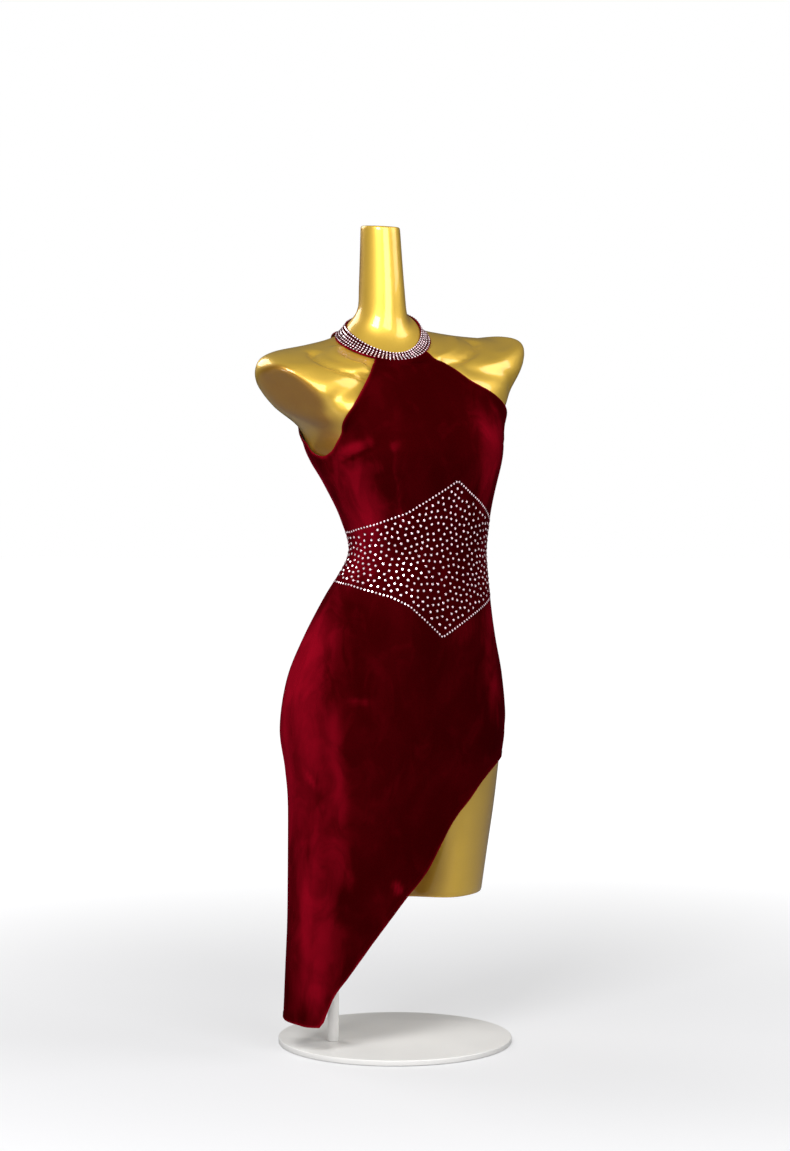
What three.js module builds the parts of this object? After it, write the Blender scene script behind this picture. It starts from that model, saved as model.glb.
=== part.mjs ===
// A latin dance dress in stretch velvet, worn by a limbless display form on a low stand.
// Millimetres. +Z is up, the chest faces -Y, the wearer's left is +X, and the stand's plate lies on z = 0.
import * as THREE from 'three';

// ---- Driving sizes -------------------------------------------------------------------------------
const CLOTH = { ease: 2.0, halterEase: 2.8, wall: 1.4, seam: 0.3 };   // gaps to the form, wall, gap at each seam
const COLLAR = { ease: 0.7, wall: 2.4 };
const HOOK = { width: 7, height: 11, thick: 1.6, lift: 1.0 };
const PLATE = { radius: 165, thick: 8, bevel: 1.5 };
const POLE = { radius: 8, x: -92, y: 22, sides: 24 };
const SOCKET = { radius: 24, thick: 6, collarRadius: 13, collarLength: 26 };
const TOUCH = 0.3;                                              // gap between hard pieces that meet

const DEG = Math.PI / 180;
const RIGHT_SIDE = -90;                                         // directions round the body, in degrees:
const LEFT_SIDE = 90;                                           // 0 is centre front, 180 is centre back
const CENTRE_BACK = 180;
const TAIL_CORNER = -75;                                        // where the slanted hem meets the tail's end
const TAIL_BEND = -70;                                          // where the steep foot of the slant ends

// ---- The figure ----------------------------------------------------------------------------------
// One row for each section, from below. side, front and back are heights; tilt lifts the left side;
// half is half the width, fore and aft are the depths before and behind the centre (x, y);
// square and squareBack are the outline's squareness (2 is an ellipse).
const SKIRT_ROWS = [
  { row: 'tail', side: 45, half: 175, fore: 78, aft: 70, x: -8, y: 0, square: 2.0 },
  { row: 'calf', side: 140, half: 170, fore: 86, aft: 76, x: -5, y: 0, square: 2.1 },
  { row: 'knee', side: 240, half: 166, fore: 92, aft: 82, x: -3, y: 0 },
  { row: 'thigh', side: 340, half: 164, fore: 95, aft: 88, x: -2, y: 0 },
];
const STUMP_ROWS = [
  { row: 'stump', side: 207, half: 139, fore: 76, aft: 80, x: 0, y: 2, square: 2.4 },
  { row: 'midThigh', side: 270, half: 150, fore: 84, aft: 86, x: -1, y: 1, square: 2.3 },
  { row: 'highThigh', side: 335, half: 162, fore: 92, aft: 88, x: -2, y: 0 },
];
const TORSO_ROWS = [
  { row: 'lowHip', side: 395, half: 169, fore: 96, aft: 94, x: -1, y: 0 },
  { row: 'hip', side: 450, half: 176, fore: 98, aft: 102, x: 0, y: 0 },
  { row: 'highHip', side: 515, half: 167, fore: 97, aft: 96, x: 0, y: -2 },
  { row: 'belly', side: 572, half: 148, fore: 93, aft: 86, x: 1, y: -9 },
  { row: 'lowWaist', side: 630, half: 127, fore: 82, aft: 70, x: 7, y: -18 },
  { row: 'waist', side: 690, half: 104, fore: 73, aft: 60, x: 19, y: -25 },
  { row: 'rib', side: 740, half: 110, fore: 84, aft: 69, x: 16, y: -23 },
  { row: 'lowChest', side: 790, half: 126, fore: 101, aft: 82, x: 11, y: -16 },
  { row: 'underarm', side: 827, half: 138, fore: 110, aft: 97, x: 9, y: -9, squareBack: 2.4 },
  { row: 'bust', side: 870, front: 860, back: 872, tilt: 7, half: 153, fore: 105, aft: 101, x: 11, y: -5,
    square: 2.1, squareBack: 2.6 },
  { row: 'blade', side: 910, front: 892, back: 912, tilt: 18, half: 187, fore: 93, aft: 100, x: 5, y: 0,
    squareBack: 2.9 },
  { row: 'tip', side: 950, front: 922, back: 946, tilt: 25, half: 214, fore: 80, aft: 93, x: 5, y: 4,
    square: 2.6, squareBack: 3.1 },
  { row: 'shoulder', side: 977, front: 938, back: 969, tilt: 25, half: 213, fore: 74, aft: 86, x: 4, y: 8,
    square: 2.7, squareBack: 2.9 },
  { row: 'yoke', side: 982, front: 949, back: 984, tilt: 17, half: 184, fore: 70, aft: 78, x: 0, y: 13,
    square: 2.5, squareBack: 2.6 },
  { row: 'slope', side: 987, front: 954, back: 996, tilt: 14, half: 126, fore: 67, aft: 72, x: -3, y: 18 },
  { row: 'collar', side: 993, front: 960, back: 1012, tilt: 15, half: 68, fore: 65, aft: 66, x: -8, y: 18,
    square: 2.0 },
  { row: 'collarTop', side: 1009, front: 972, back: 1028, tilt: 14, half: 51, fore: 49, aft: 54, x: -6, y: 18,
    square: 2.0 },
  { row: 'neckBase', side: 1029, front: 1004, back: 1045, tilt: 7, half: 36, fore: 36, aft: 37, x: -4, y: 23,
    square: 2.0 },
  { row: 'neck', side: 1070, front: 1060, back: 1078, tilt: 3, half: 31, fore: 34, aft: 34, x: -4, y: 26,
    square: 2.0 },
  { row: 'neckTop', side: 1152, front: 1150, back: 1154, half: 27, fore: 29, aft: 29, x: -5, y: 28, square: 2.0 },
];
const BUST = { direction: 38, height: 835, rise: 8, tall: 44, outer: 26, inner: 44 };
const THIGH_CLEFT = { depth: 0.72, top: 380, fade: 90, width: 34 };

// Soft folds that hang in the skirt below the hip: direction, half spread (degrees), depth and top height.
const SKIRT_FOLDS = [
  { direction: -124, spread: 7, depth: 4.5, top: 330 },
  { direction: -104, spread: 6, depth: 3.0, top: 300 },
  { direction: -84, spread: 4, depth: 3.0, top: 260 },
  { direction: -66, spread: 6, depth: 4.0, top: 330 },
  { direction: 150, spread: 9, depth: 3.0, top: 380 },
];

// The flat faces where the arms end: each plane's way out, its distance and the height it fades in at.
const ARM_CUTS = [
  { x: -0.80, y: -0.20, z: -0.57, distance: -369 },
  { x: 0.80, y: -0.20, z: -0.57, distance: -373 },
];
const CUT_FADE = { low: 840, rise: 30 };

// The hem: direction from centre front or centre back, and its heights before and behind.
const HEM = [
  { direction: -90, front: 50, back: 50 }, { direction: -83, front: 46, back: 54 },
  { direction: TAIL_CORNER, front: 41, back: 56 }, { direction: TAIL_BEND, front: 87, back: 90 },
  { direction: -63, front: 115, back: 115 }, { direction: -49, front: 164, back: 164 },
  { direction: -29, front: 215, back: 215 }, { direction: -8, front: 254, back: 254 },
  { direction: 8, front: 295, back: 295 }, { direction: 20, front: 323, back: 323 },
  { direction: 35, front: 348, back: 348 }, { direction: 48, front: 373, back: 373 },
  { direction: 66, front: 396, back: 396 }, { direction: 90, front: 404, back: 404 },
];

// The cut-away shoulders: the direction of each armhole's edge, by rows above the underarm.
const ARMHOLES = [
  { above: 0.00, frontRight: -90, frontLeft: 90, backRight: -90, backLeft: 90 },
  { above: 0.04, frontRight: -86, frontLeft: 87, backRight: -94, backLeft: 93 },
  { above: 0.20, frontRight: -80, frontLeft: 83, backRight: -100, backLeft: 98 },
  { above: 0.50, frontRight: -76, frontLeft: 79, backRight: -104, backLeft: 103 },
  { above: 0.90, frontRight: -72, frontLeft: 75, backRight: -117, backLeft: 114 },
  { above: 1.35, frontRight: -69, frontLeft: 69, backRight: -126, backLeft: 124 },
  { above: 1.80, frontRight: -65, frontLeft: 61, backRight: -132, backLeft: 131 },
  { above: 2.30, frontRight: -61, frontLeft: 53, backRight: -137, backLeft: 136 },
  { above: 3.00, frontRight: -58, frontLeft: 42, backRight: -141, backLeft: 140 },
  { above: 4.00, frontRight: -55, frontLeft: 36, backRight: -144, backLeft: 143 },
  { above: 5.00, frontRight: -51, frontLeft: 33, backRight: -147, backLeft: 146 },
  { above: 6.00, frontRight: -48, frontLeft: 31, backRight: -148, backLeft: 147 },
  { above: 7.00, frontRight: -46, frontLeft: 28, backRight: -141, backLeft: 140 },
];

// ---- Curves through tables -----------------------------------------------------------------------
const smoothStep = (x) => {
  const s = THREE.MathUtils.clamp(x, 0, 1);
  return s * s * (3 - 2 * s);
};
const bump = (x) => Math.exp(-x * x);
const steps = (from, to, count) => Array.from({ length: count + 1 }, (_, i) => from + ((to - from) * i) / count);

// A smooth curve through one column of a table at the place `at`, counted in rows.
function throughRows(values, at) {
  const last = values.length - 1;
  const place = THREE.MathUtils.clamp(at, 0, last);
  const i = Math.min(Math.floor(place), last - 1);
  const u = place - i;
  const [a, b, c, d] = [Math.max(i - 1, 0), i, i + 1, Math.min(i + 2, last)].map((k) => values[k]);
  return 0.5 * (2 * b + (c - a) * u + (2 * a - 5 * b + 4 * c - d) * u * u + (3 * b - a - 3 * c + d) * u ** 3);
}

// Straight lines between the rows of a table sorted by `key`.
function between(table, key, column, at) {
  const next = table.findIndex((r) => r[key] >= at);
  if (next === 0) return table[0][column];
  if (next < 0) return table[table.length - 1][column];
  const [low, high] = [table[next - 1], table[next]];
  return THREE.MathUtils.lerp(low[column], high[column], (at - low[key]) / (high[key] - low[key]));
}

// A smooth curve through the rows of a table sorted by `key`.
function smoothBetween(table, key, column, at) {
  const last = table.length - 1;
  const i = THREE.MathUtils.clamp(table.findIndex((r) => r[key] >= at) - 1, 0, last - 1);
  const slope = (a, b) => (table[b][column] - table[a][column]) / (table[b][key] - table[a][key]);
  const [from, to] = [slope(Math.max(i - 1, 0), i + 1), slope(i, Math.min(i + 2, last))];
  const gap = table[i + 1][key] - table[i][key];
  const u = THREE.MathUtils.clamp((at - table[i][key]) / gap, 0, 1);
  const [low, high] = [table[i][column], table[i + 1][column]];
  return low * (1 + 2 * u) * (1 - u) ** 2 + high * u * u * (3 - 2 * u)
    + gap * (from * u * (1 - u) ** 2 - to * u * u * (1 - u));
}

// ---- The figure's surface ------------------------------------------------------------------------
class Figure {
  constructor(rows, { folds = [], cleft = null, cuts = [] } = {}) {
    const filled = rows.map((r) => ({ front: r.side, back: r.side, tilt: 0, square: 2.2, ...r }));
    this.columns = {};
    for (const key of ['side', 'front', 'back', 'tilt', 'half', 'fore', 'aft', 'x', 'y', 'square']) {
      this.columns[key] = filled.map((r) => r[key]);
    }
    this.columns.squareBack = filled.map((r) => r.squareBack ?? r.square);
    this.names = rows.map((r) => r.row);
    this.folds = folds;
    this.cleft = cleft;
    this.cuts = cuts;
  }

  row(name) {
    return this.names.indexOf(name);
  }

  // The place, in rows, of a level height below the bust.
  rowAtHeight(height) {
    let [low, high] = [0, this.row('underarm')];
    for (let step = 0; step < 40; step += 1) {
      const middle = (low + high) / 2;
      if (throughRows(this.columns.side, middle) < height) low = middle;
      else high = middle;
    }
    return low;
  }

  point(direction, at) {
    const s = Object.fromEntries(Object.entries(this.columns).map(([key, v]) => [key, throughRows(v, at)]));
    const [sin, cos] = [Math.sin(direction * DEG), Math.cos(direction * DEG)];
    const depth = cos > 0 ? s.fore : s.aft;
    const square = cos > 0 ? s.square : s.squareBack;
    const reach = (Math.abs(sin / s.half) ** square + Math.abs(cos / depth) ** square) ** (-1 / square);
    const across = reach * sin;
    const ahead = (reach * cos) / depth;
    const height = s.side + ((s.front - s.back) / 2) * ahead
      + ((s.front + s.back) / 2 - s.side) * ahead * ahead + s.tilt * (across / s.half);

    let swell = 0;
    const fromBust = Math.abs(THREE.MathUtils.euclideanModulo(direction + 180, 360) - 180) - BUST.direction;
    const spread = fromBust > 0 ? BUST.outer : BUST.inner;
    swell += BUST.rise * bump(fromBust / spread) * bump((height - BUST.height) / BUST.tall);
    for (const fold of this.folds) {
      const away = THREE.MathUtils.euclideanModulo(direction - fold.direction + 180, 360) - 180;
      swell -= fold.depth * bump(away / fold.spread) * smoothStep((fold.top - height) / 160);
    }
    let pinch = 1;
    if (this.cleft) {
      const sunk = smoothStep((this.cleft.top - height) / this.cleft.fade);
      pinch = 1 - this.cleft.depth * sunk * bump(across / this.cleft.width);
    }
    const point = new THREE.Vector3(
      s.x + across + swell * sin,
      s.y - depth * ahead * pinch - swell * cos,
      height,
    );
    for (const cut of this.cuts) {
      const beyond = Math.max(point.dot(cut) - cut.distance, 0) * smoothStep((height - CUT_FADE.low) / CUT_FADE.rise);
      point.addScaledVector(cut, -beyond);
    }
    return point;
  }

  // The same point moved out from the surface, square to it.
  outside(direction, at, distance) {
    const small = 1e-3;
    const last = this.names.length - 1;
    const round = this.point(direction + 0.05, at).sub(this.point(direction - 0.05, at));
    const up = this.point(direction, Math.min(at + small, last)).sub(this.point(direction, Math.max(at - small, 0)));
    return this.point(direction, at).addScaledVector(round.cross(up).normalize(), distance);
  }

  // The direction reached after walking `distance` round a row.
  walk(direction, at, distance) {
    const start = this.point(direction, at);
    let [low, high] = [0, 12];
    for (let step = 0; step < 30; step += 1) {
      const middle = (low + high) / 2;
      if (this.point(direction + Math.sign(distance) * middle, at).distanceTo(start) < Math.abs(distance)) low = middle;
      else high = middle;
    }
    return direction + Math.sign(distance) * low;
  }

  // Directions that part a row's stretch into equal lengths of cloth.
  evenly(from, to, at, count) {
    const fine = 60;
    const lengths = [0];
    let previous = this.point(from, at);
    for (let k = 1; k <= fine; k += 1) {
      const here = this.point(THREE.MathUtils.lerp(from, to, k / fine), at);
      lengths.push(lengths[k - 1] + here.distanceTo(previous));
      previous = here;
    }
    return Array.from({ length: count + 1 }, (_, i) => {
      const wanted = (lengths[fine] * i) / count;
      const k = Math.max(1, lengths.findIndex((l) => l >= wanted - 1e-9));
      const part = (wanted - lengths[k - 1]) / (lengths[k] - lengths[k - 1]);
      return THREE.MathUtils.lerp(from, to, (k - 1 + part) / fine);
    });
  }
}

const dressFigure = new Figure([...SKIRT_ROWS, ...TORSO_ROWS], { folds: SKIRT_FOLDS });
const formFigure = new Figure([...STUMP_ROWS, ...TORSO_ROWS], { cleft: THIGH_CLEFT, cuts: ARM_CUTS });

// ---- Closed solids from grids of points ----------------------------------------------------------
class SolidBuilder {
  constructor() {
    this.positions = [];
  }

  triangle(a, b, c) {
    for (const p of [a, b, c]) this.positions.push(p.x, p.y, p.z);
  }

  quad(a, b, c, d) {
    this.triangle(a, b, c);
    this.triangle(a, c, d);
  }

  geometry() {
    const g = new THREE.BufferGeometry();
    g.setAttribute('position', new THREE.Float32BufferAttribute(this.positions, 3));
    return g;
  }
}

// A cloth wall between an inner and an outer grid [row][column], with its four edges closed.
// Columns run towards the wearer's left as seen from outside, and rows run upwards.
function clothWall(inner, outer) {
  const solid = new SolidBuilder();
  const rows = outer.length - 1;
  const columns = outer[0].length - 1;
  for (let j = 0; j < rows; j += 1) {
    for (let i = 0; i < columns; i += 1) {
      solid.quad(outer[j][i], outer[j][i + 1], outer[j + 1][i + 1], outer[j + 1][i]);
      solid.quad(inner[j][i + 1], inner[j][i], inner[j + 1][i], inner[j + 1][i + 1]);
    }
    solid.quad(inner[j][0], outer[j][0], outer[j + 1][0], inner[j + 1][0]);
    solid.quad(outer[j][columns], inner[j][columns], inner[j + 1][columns], outer[j + 1][columns]);
  }
  for (let i = 0; i < columns; i += 1) {
    solid.quad(inner[0][i], inner[0][i + 1], outer[0][i + 1], outer[0][i]);
    solid.quad(outer[rows][i], outer[rows][i + 1], inner[rows][i + 1], inner[rows][i]);
  }
  return solid.geometry();
}

// ---- Materials -----------------------------------------------------------------------------------
const velvet = new THREE.MeshStandardMaterial({ color: '#5c0510', roughness: 0.85, metalness: 0 });
const gold = new THREE.MeshStandardMaterial({ color: '#b8912e', roughness: 0.2, metalness: 0.8 });
const stones = new THREE.MeshStandardMaterial({ color: '#e6d8dc', roughness: 0.1, metalness: 0.2 });
const enamel = new THREE.MeshStandardMaterial({ color: '#e9e7e2', roughness: 0.45, metalness: 0 });
const steel = new THREE.MeshStandardMaterial({ color: '#b9bcc0', roughness: 0.3, metalness: 1 });

const part = new THREE.Group();
function add(name, geometry, material) {
  const mesh = new THREE.Mesh(geometry, material);
  mesh.name = name;
  part.add(mesh);
}

// ---- Dress panels --------------------------------------------------------------------------------
// Each panel is cut in one from hem to collar. Below the underarm its columns keep their directions;
// above it each row runs from armhole to armhole, and its columns spread out evenly.
const HIP_LEVEL = 425;                                          // rows run level above this height
const UNDERARM_LEVEL = 827;
const SKIRT_STEPS = 7;
const BODICE_STEPS = 16;
const COLLAR_SEAM = 0.012;                                      // half the gap under the collar, in rows
const ARMHOLE_FOOT = [0.04, 0.1, 0.2, 0.33, 0.5, 0.7, 0.95, 1.25, 1.6];   // close rows above the underarm
const HALTER_STEPS = 10;

const hemHeight = (direction) => {
  const turned = THREE.MathUtils.euclideanModulo(direction + 180, 360) - 180;
  const behind = Math.abs(turned) > 90;
  const folded = behind ? Math.sign(turned) * (180 - Math.abs(turned)) : turned;
  return between(HEM, 'direction', behind ? 'back' : 'front', folded);
};
const armhole = (edge, at) => smoothBetween(ARMHOLES, 'above', edge, at - dressFigure.row('underarm'));

const halfSeam = CLOTH.seam / 2;

// directions: the columns below the underarm. edges(at): the first and last direction of a row above it.
function dressPanel(directions, edges) {
  const underarm = dressFigure.row('underarm');
  const collar = dressFigure.row('collar');
  const count = directions.length - 1;
  const places = [];
  const addRow = (heightOf) => places.push(directions.map((direction, i) => {
    const at = dressFigure.rowAtHeight(heightOf(direction));
    if (i === 0) return [dressFigure.walk(direction, at, halfSeam), at];
    if (i === count) return [dressFigure.walk(direction, at, -halfSeam), at];
    return [direction, at];
  }));
  for (const share of steps(0, 1, SKIRT_STEPS).slice(0, -1)) {
    addRow((direction) => THREE.MathUtils.lerp(hemHeight(direction), HIP_LEVEL, share));
  }
  for (const height of steps(HIP_LEVEL, UNDERARM_LEVEL, BODICE_STEPS)) addRow(() => height);
  const bladeRow = dressFigure.row('blade');
  const levels = [
    ...ARMHOLE_FOOT.map((above) => underarm + above),
    ...steps(bladeRow, collar - COLLAR_SEAM, HALTER_STEPS),
  ];
  for (const at of levels) {
    const [first, last] = edges(at);
    const kept = directions.map((d) => THREE.MathUtils.mapLinear(d, directions[0], directions[count], first, last));
    const even = dressFigure.evenly(first, last, at, count);
    const turn = smoothStep((at - underarm) / 2);
    places.push(kept.map((direction, i) => [THREE.MathUtils.lerp(direction, even[i], turn), at]));
  }
  const skin = (wall) => places.map((row) => row.map(([direction, at]) => {
    const ease = THREE.MathUtils.lerp(CLOTH.ease, CLOTH.halterEase, smoothStep(at - underarm));
    return dressFigure.outside(direction, at, ease + wall);
  }));
  return clothWall(skin(0), skin(CLOTH.wall));
}

const hipRow = dressFigure.row('hip');
const frontColumns = [
  ...dressFigure.evenly(RIGHT_SIDE, TAIL_CORNER, hipRow, 3),
  ...dressFigure.evenly(TAIL_BEND, LEFT_SIDE, hipRow, 20),
];
add('dress_front', dressPanel(frontColumns, (at) => [
  Math.max(armhole('frontRight', at), dressFigure.walk(RIGHT_SIDE, at, halfSeam)),
  Math.min(armhole('frontLeft', at), dressFigure.walk(LEFT_SIDE, at, -halfSeam)),
]), velvet);

const leftBackColumns = dressFigure.evenly(LEFT_SIDE, CENTRE_BACK, hipRow, 13);
add('dress_back_left', dressPanel(leftBackColumns, (at) => [
  Math.max(armhole('backLeft', at), dressFigure.walk(LEFT_SIDE, at, halfSeam)),
  dressFigure.walk(CENTRE_BACK, at, -halfSeam),
]), velvet);

const rightBackColumns = [
  ...dressFigure.evenly(CENTRE_BACK, 180 - TAIL_BEND, hipRow, 11),
  ...dressFigure.evenly(180 - TAIL_CORNER, 270, hipRow, 3),
];
add('dress_back_right', dressPanel(rightBackColumns, (at) => [
  dressFigure.walk(CENTRE_BACK, at, halfSeam),
  Math.min(360 + armhole('backRight', at), dressFigure.walk(270, at, -halfSeam)),
]), velvet);

// ---- Collar band ---------------------------------------------------------------------------------
// A stiff band that leans in to the neck, open by a seam's width at the centre back.
const COLLAR_COLUMNS = 44;

function collarBand() {
  const [low, high] = [dressFigure.row('collar'), dressFigure.row('collarTop')];
  const places = [low + COLLAR_SEAM, low + 0.5, high].map((at) => {
    const first = dressFigure.walk(-CENTRE_BACK, at, halfSeam);
    const last = dressFigure.walk(CENTRE_BACK, at, -halfSeam);
    return steps(first, last, COLLAR_COLUMNS).map((direction) => [direction, at]);
  });
  const skin = (distance) => places.map((row) => row.map(([d, at]) => dressFigure.outside(d, at, distance)));
  return clothWall(skin(COLLAR.ease), skin(COLLAR.ease + COLLAR.wall));
}
add('collar_band', collarBand(), stones);

// ---- Display form --------------------------------------------------------------------------------
const FORM_SIDES = 48;

function displayForm() {
  const solid = new SolidBuilder();
  const quarter = (from) => formFigure.evenly(from, from + 90, formFigure.row('hip'), FORM_SIDES / 4).slice(1);
  const directions = [-180, -90, 0, 90].flatMap(quarter);
  const sides = directions.length;
  const rows = [];
  for (let at = 0; at < formFigure.names.length - 1; at += 0.5) rows.push(at);
  rows.push(formFigure.names.length - 1);
  const rings = rows.map((at) => directions.map((direction) => formFigure.point(direction, at)));
  for (let j = 0; j < rings.length - 1; j += 1) {
    for (let i = 0; i < sides; i += 1) {
      const next = (i + 1) % sides;
      solid.quad(rings[j][i], rings[j][next], rings[j + 1][next], rings[j + 1][i]);
    }
  }
  capRing(solid, rings[0], true);
  capRing(solid, rings[rings.length - 1], false);
  return solid.geometry();
}

// A cap of strips that run from the ring's back half to its front half.
function capRing(solid, ring, facesDown) {
  const sides = ring.length;
  const quarter = sides / 4 - 1;                               // ring[quarter] is the right side
  for (let k = 0; k < sides / 2; k += 1) {
    const front = (i) => ring[(quarter + i) % sides];
    const back = (i) => ring[(quarter - i + sides) % sides];
    const corners = [front(k), back(k), back(k + 1), front(k + 1)];
    const unique = corners.filter((p, i) => corners.indexOf(p) === i);
    if (!facesDown) unique.reverse();
    for (let i = 1; i < unique.length - 1; i += 1) solid.triangle(unique[0], unique[i], unique[i + 1]);
  }
}
add('dress_form', displayForm(), gold);

// ---- Collar hook ---------------------------------------------------------------------------------
function placedOn(geometry, direction, at, distance) {
  const here = dressFigure.outside(direction, at, distance);
  const out = dressFigure.outside(direction, at, distance + 1).sub(here).normalize();
  const up = dressFigure.point(direction, at + 0.2).sub(dressFigure.point(direction, at - 0.2));
  const side = new THREE.Vector3().crossVectors(up, out).normalize();
  const rise = new THREE.Vector3().crossVectors(out, side);
  geometry.applyMatrix4(new THREE.Matrix4().makeBasis(side, rise, out).setPosition(here));
  return geometry;
}
const hookPlace = dressFigure.row('collar') + 0.5;
const hookLift = COLLAR.ease + COLLAR.wall + HOOK.lift + HOOK.thick / 2;
add('collar_hook', placedOn(
  new THREE.BoxGeometry(HOOK.width, HOOK.height, HOOK.thick), CENTRE_BACK, hookPlace, hookLift,
), steel);

// ---- Stand ---------------------------------------------------------------------------------------
function turned(profile, sides, x = 0, y = 0) {
  const g = new THREE.LatheGeometry(profile.map(([r, z]) => new THREE.Vector2(r, z)), sides);
  g.rotateX(Math.PI / 2);
  g.translate(x, y, 0);
  return g;
}
const stumpFloor = STUMP_ROWS[0].side;
const socketTop = stumpFloor - TOUCH;
const poleTop = socketTop - SOCKET.thick - TOUCH;
add('stand_base', turned([
  [0, 0], [PLATE.radius - PLATE.bevel, 0], [PLATE.radius, PLATE.bevel],
  [PLATE.radius, PLATE.thick - PLATE.bevel], [PLATE.radius - PLATE.bevel, PLATE.thick], [0, PLATE.thick],
], 48), enamel);
add('stand_pole', turned([
  [0, PLATE.thick + TOUCH], [POLE.radius, PLATE.thick + TOUCH], [POLE.radius, poleTop], [0, poleTop],
], POLE.sides, POLE.x, POLE.y), enamel);
add('stand_socket', turned([
  [0, poleTop + TOUCH], [POLE.radius + TOUCH, poleTop + TOUCH], [POLE.radius + TOUCH, poleTop - SOCKET.collarLength],
  [SOCKET.collarRadius, poleTop - SOCKET.collarLength], [SOCKET.collarRadius, poleTop - SOCKET.thick],
  [SOCKET.radius, socketTop - SOCKET.thick + 1], [SOCKET.radius, socketTop], [0, socketTop],
], POLE.sides, POLE.x, POLE.y), enamel);

export default part;
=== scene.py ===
"""A velvet latin dance dress on a gold display form: cloth panels, stones, form, stand and studio.

Blender units are metres. +Z is up, the chest faces -Y and the wearer's left is +X. The figure's own
tables are in millimetres, and a direction round the body is in degrees: 0 is centre front, 90 is the
wearer's left side, -90 the right side and 180 centre back.
"""
import math
import random

import bpy
import numpy as np
from bpy.props import FloatProperty, FloatVectorProperty, IntProperty, PointerProperty
from bpy.types import Operator, Panel, PropertyGroup
from mathutils import Matrix, Vector
from mathutils.kdtree import KDTree


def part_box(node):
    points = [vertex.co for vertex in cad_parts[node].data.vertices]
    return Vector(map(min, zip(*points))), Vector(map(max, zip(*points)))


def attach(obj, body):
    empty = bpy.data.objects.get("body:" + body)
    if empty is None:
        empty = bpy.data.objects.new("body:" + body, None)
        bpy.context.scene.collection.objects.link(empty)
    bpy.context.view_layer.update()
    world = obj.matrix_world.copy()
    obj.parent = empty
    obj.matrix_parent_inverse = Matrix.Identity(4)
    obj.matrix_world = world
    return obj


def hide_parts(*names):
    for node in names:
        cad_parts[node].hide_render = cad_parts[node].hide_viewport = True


bl_info = {
    "name": "Latin dance dress",
    "version": (1, 0, 0),
    "blender": (4, 5, 0),
    "location": "View3D > Sidebar > Dance Dress",
    "description": "Builds a velvet dance dress on its display form",
    "category": "Add Mesh",
}

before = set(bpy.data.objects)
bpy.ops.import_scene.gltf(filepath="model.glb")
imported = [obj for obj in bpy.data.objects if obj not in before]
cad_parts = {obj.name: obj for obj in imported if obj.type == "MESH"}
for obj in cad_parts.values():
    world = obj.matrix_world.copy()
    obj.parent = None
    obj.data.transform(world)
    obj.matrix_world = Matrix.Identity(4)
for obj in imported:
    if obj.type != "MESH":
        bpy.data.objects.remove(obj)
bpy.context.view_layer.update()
BODY = "root"
MM = 0.001


def named(columns, rows):
    """The rows of a table as dictionaries."""
    return [dict(zip(columns.split(), row)) for row in rows]


# ---- The figure's tables, in millimetres ------------------------------------------------------
# The columns are named in COLUMNS: a section's heights at the side, front and back; the lift of its
# left side; half its width; its depths before and behind its centre; the centre's x and y; and how
# square its outline is before and behind, where 2 is an ellipse.
COLUMNS = ("side", "front", "back", "tilt", "half", "fore", "aft", "x", "y", "square", "square_back")
SKIRT_ROWS = [
    ("tail", 45, 45, 45, 0, 175, 78, 70, -8, 0, 2.0, 2.0),
    ("calf", 140, 140, 140, 0, 170, 86, 76, -5, 0, 2.1, 2.1),
    ("knee", 240, 240, 240, 0, 166, 92, 82, -3, 0, 2.2, 2.2),
    ("thigh", 340, 340, 340, 0, 164, 95, 88, -2, 0, 2.2, 2.2),
]
STUMP_ROWS = [
    ("stump", 207, 207, 207, 0, 139, 76, 80, 0, 2, 2.4, 2.4),
    ("mid thigh", 270, 270, 270, 0, 150, 84, 86, -1, 1, 2.3, 2.3),
    ("high thigh", 335, 335, 335, 0, 162, 92, 88, -2, 0, 2.2, 2.2),
]
TORSO_ROWS = [
    ("low hip", 395, 395, 395, 0, 169, 96, 94, -1, 0, 2.2, 2.2),
    ("hip", 450, 450, 450, 0, 176, 98, 102, 0, 0, 2.2, 2.2),
    ("high hip", 515, 515, 515, 0, 167, 97, 96, 0, -2, 2.2, 2.2),
    ("belly", 572, 572, 572, 0, 148, 93, 86, 1, -9, 2.2, 2.2),
    ("low waist", 630, 630, 630, 0, 127, 82, 70, 7, -18, 2.2, 2.2),
    ("waist", 690, 690, 690, 0, 104, 73, 60, 19, -25, 2.2, 2.2),
    ("rib", 740, 740, 740, 0, 110, 84, 69, 16, -23, 2.2, 2.2),
    ("low chest", 790, 790, 790, 0, 126, 101, 82, 11, -16, 2.2, 2.2),
    ("underarm", 827, 827, 827, 0, 138, 110, 97, 9, -9, 2.2, 2.4),
    ("bust", 870, 860, 872, 7, 153, 105, 101, 11, -5, 2.1, 2.6),
    ("blade", 910, 892, 912, 18, 187, 93, 100, 5, 0, 2.2, 2.9),
    ("tip", 950, 922, 946, 25, 214, 80, 93, 5, 4, 2.6, 3.1),
    ("shoulder", 977, 938, 969, 25, 213, 74, 86, 4, 8, 2.7, 2.9),
    ("yoke", 982, 949, 984, 17, 184, 70, 78, 0, 13, 2.5, 2.6),
    ("slope", 987, 954, 996, 14, 126, 67, 72, -3, 18, 2.2, 2.2),
    ("collar", 993, 960, 1012, 15, 68, 65, 66, -8, 18, 2.0, 2.0),
    ("collar top", 1009, 972, 1028, 14, 51, 49, 54, -6, 18, 2.0, 2.0),
    ("neck base", 1029, 1004, 1045, 7, 36, 36, 37, -4, 23, 2.0, 2.0),
    ("neck", 1070, 1060, 1078, 3, 31, 34, 34, -4, 26, 2.0, 2.0),
    ("neck top", 1152, 1150, 1154, 0, 27, 29, 29, -5, 28, 2.0, 2.0),
]
BUST = {"direction": 38, "height": 835, "rise": 8, "tall": 44, "outer": 26, "inner": 44}
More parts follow.
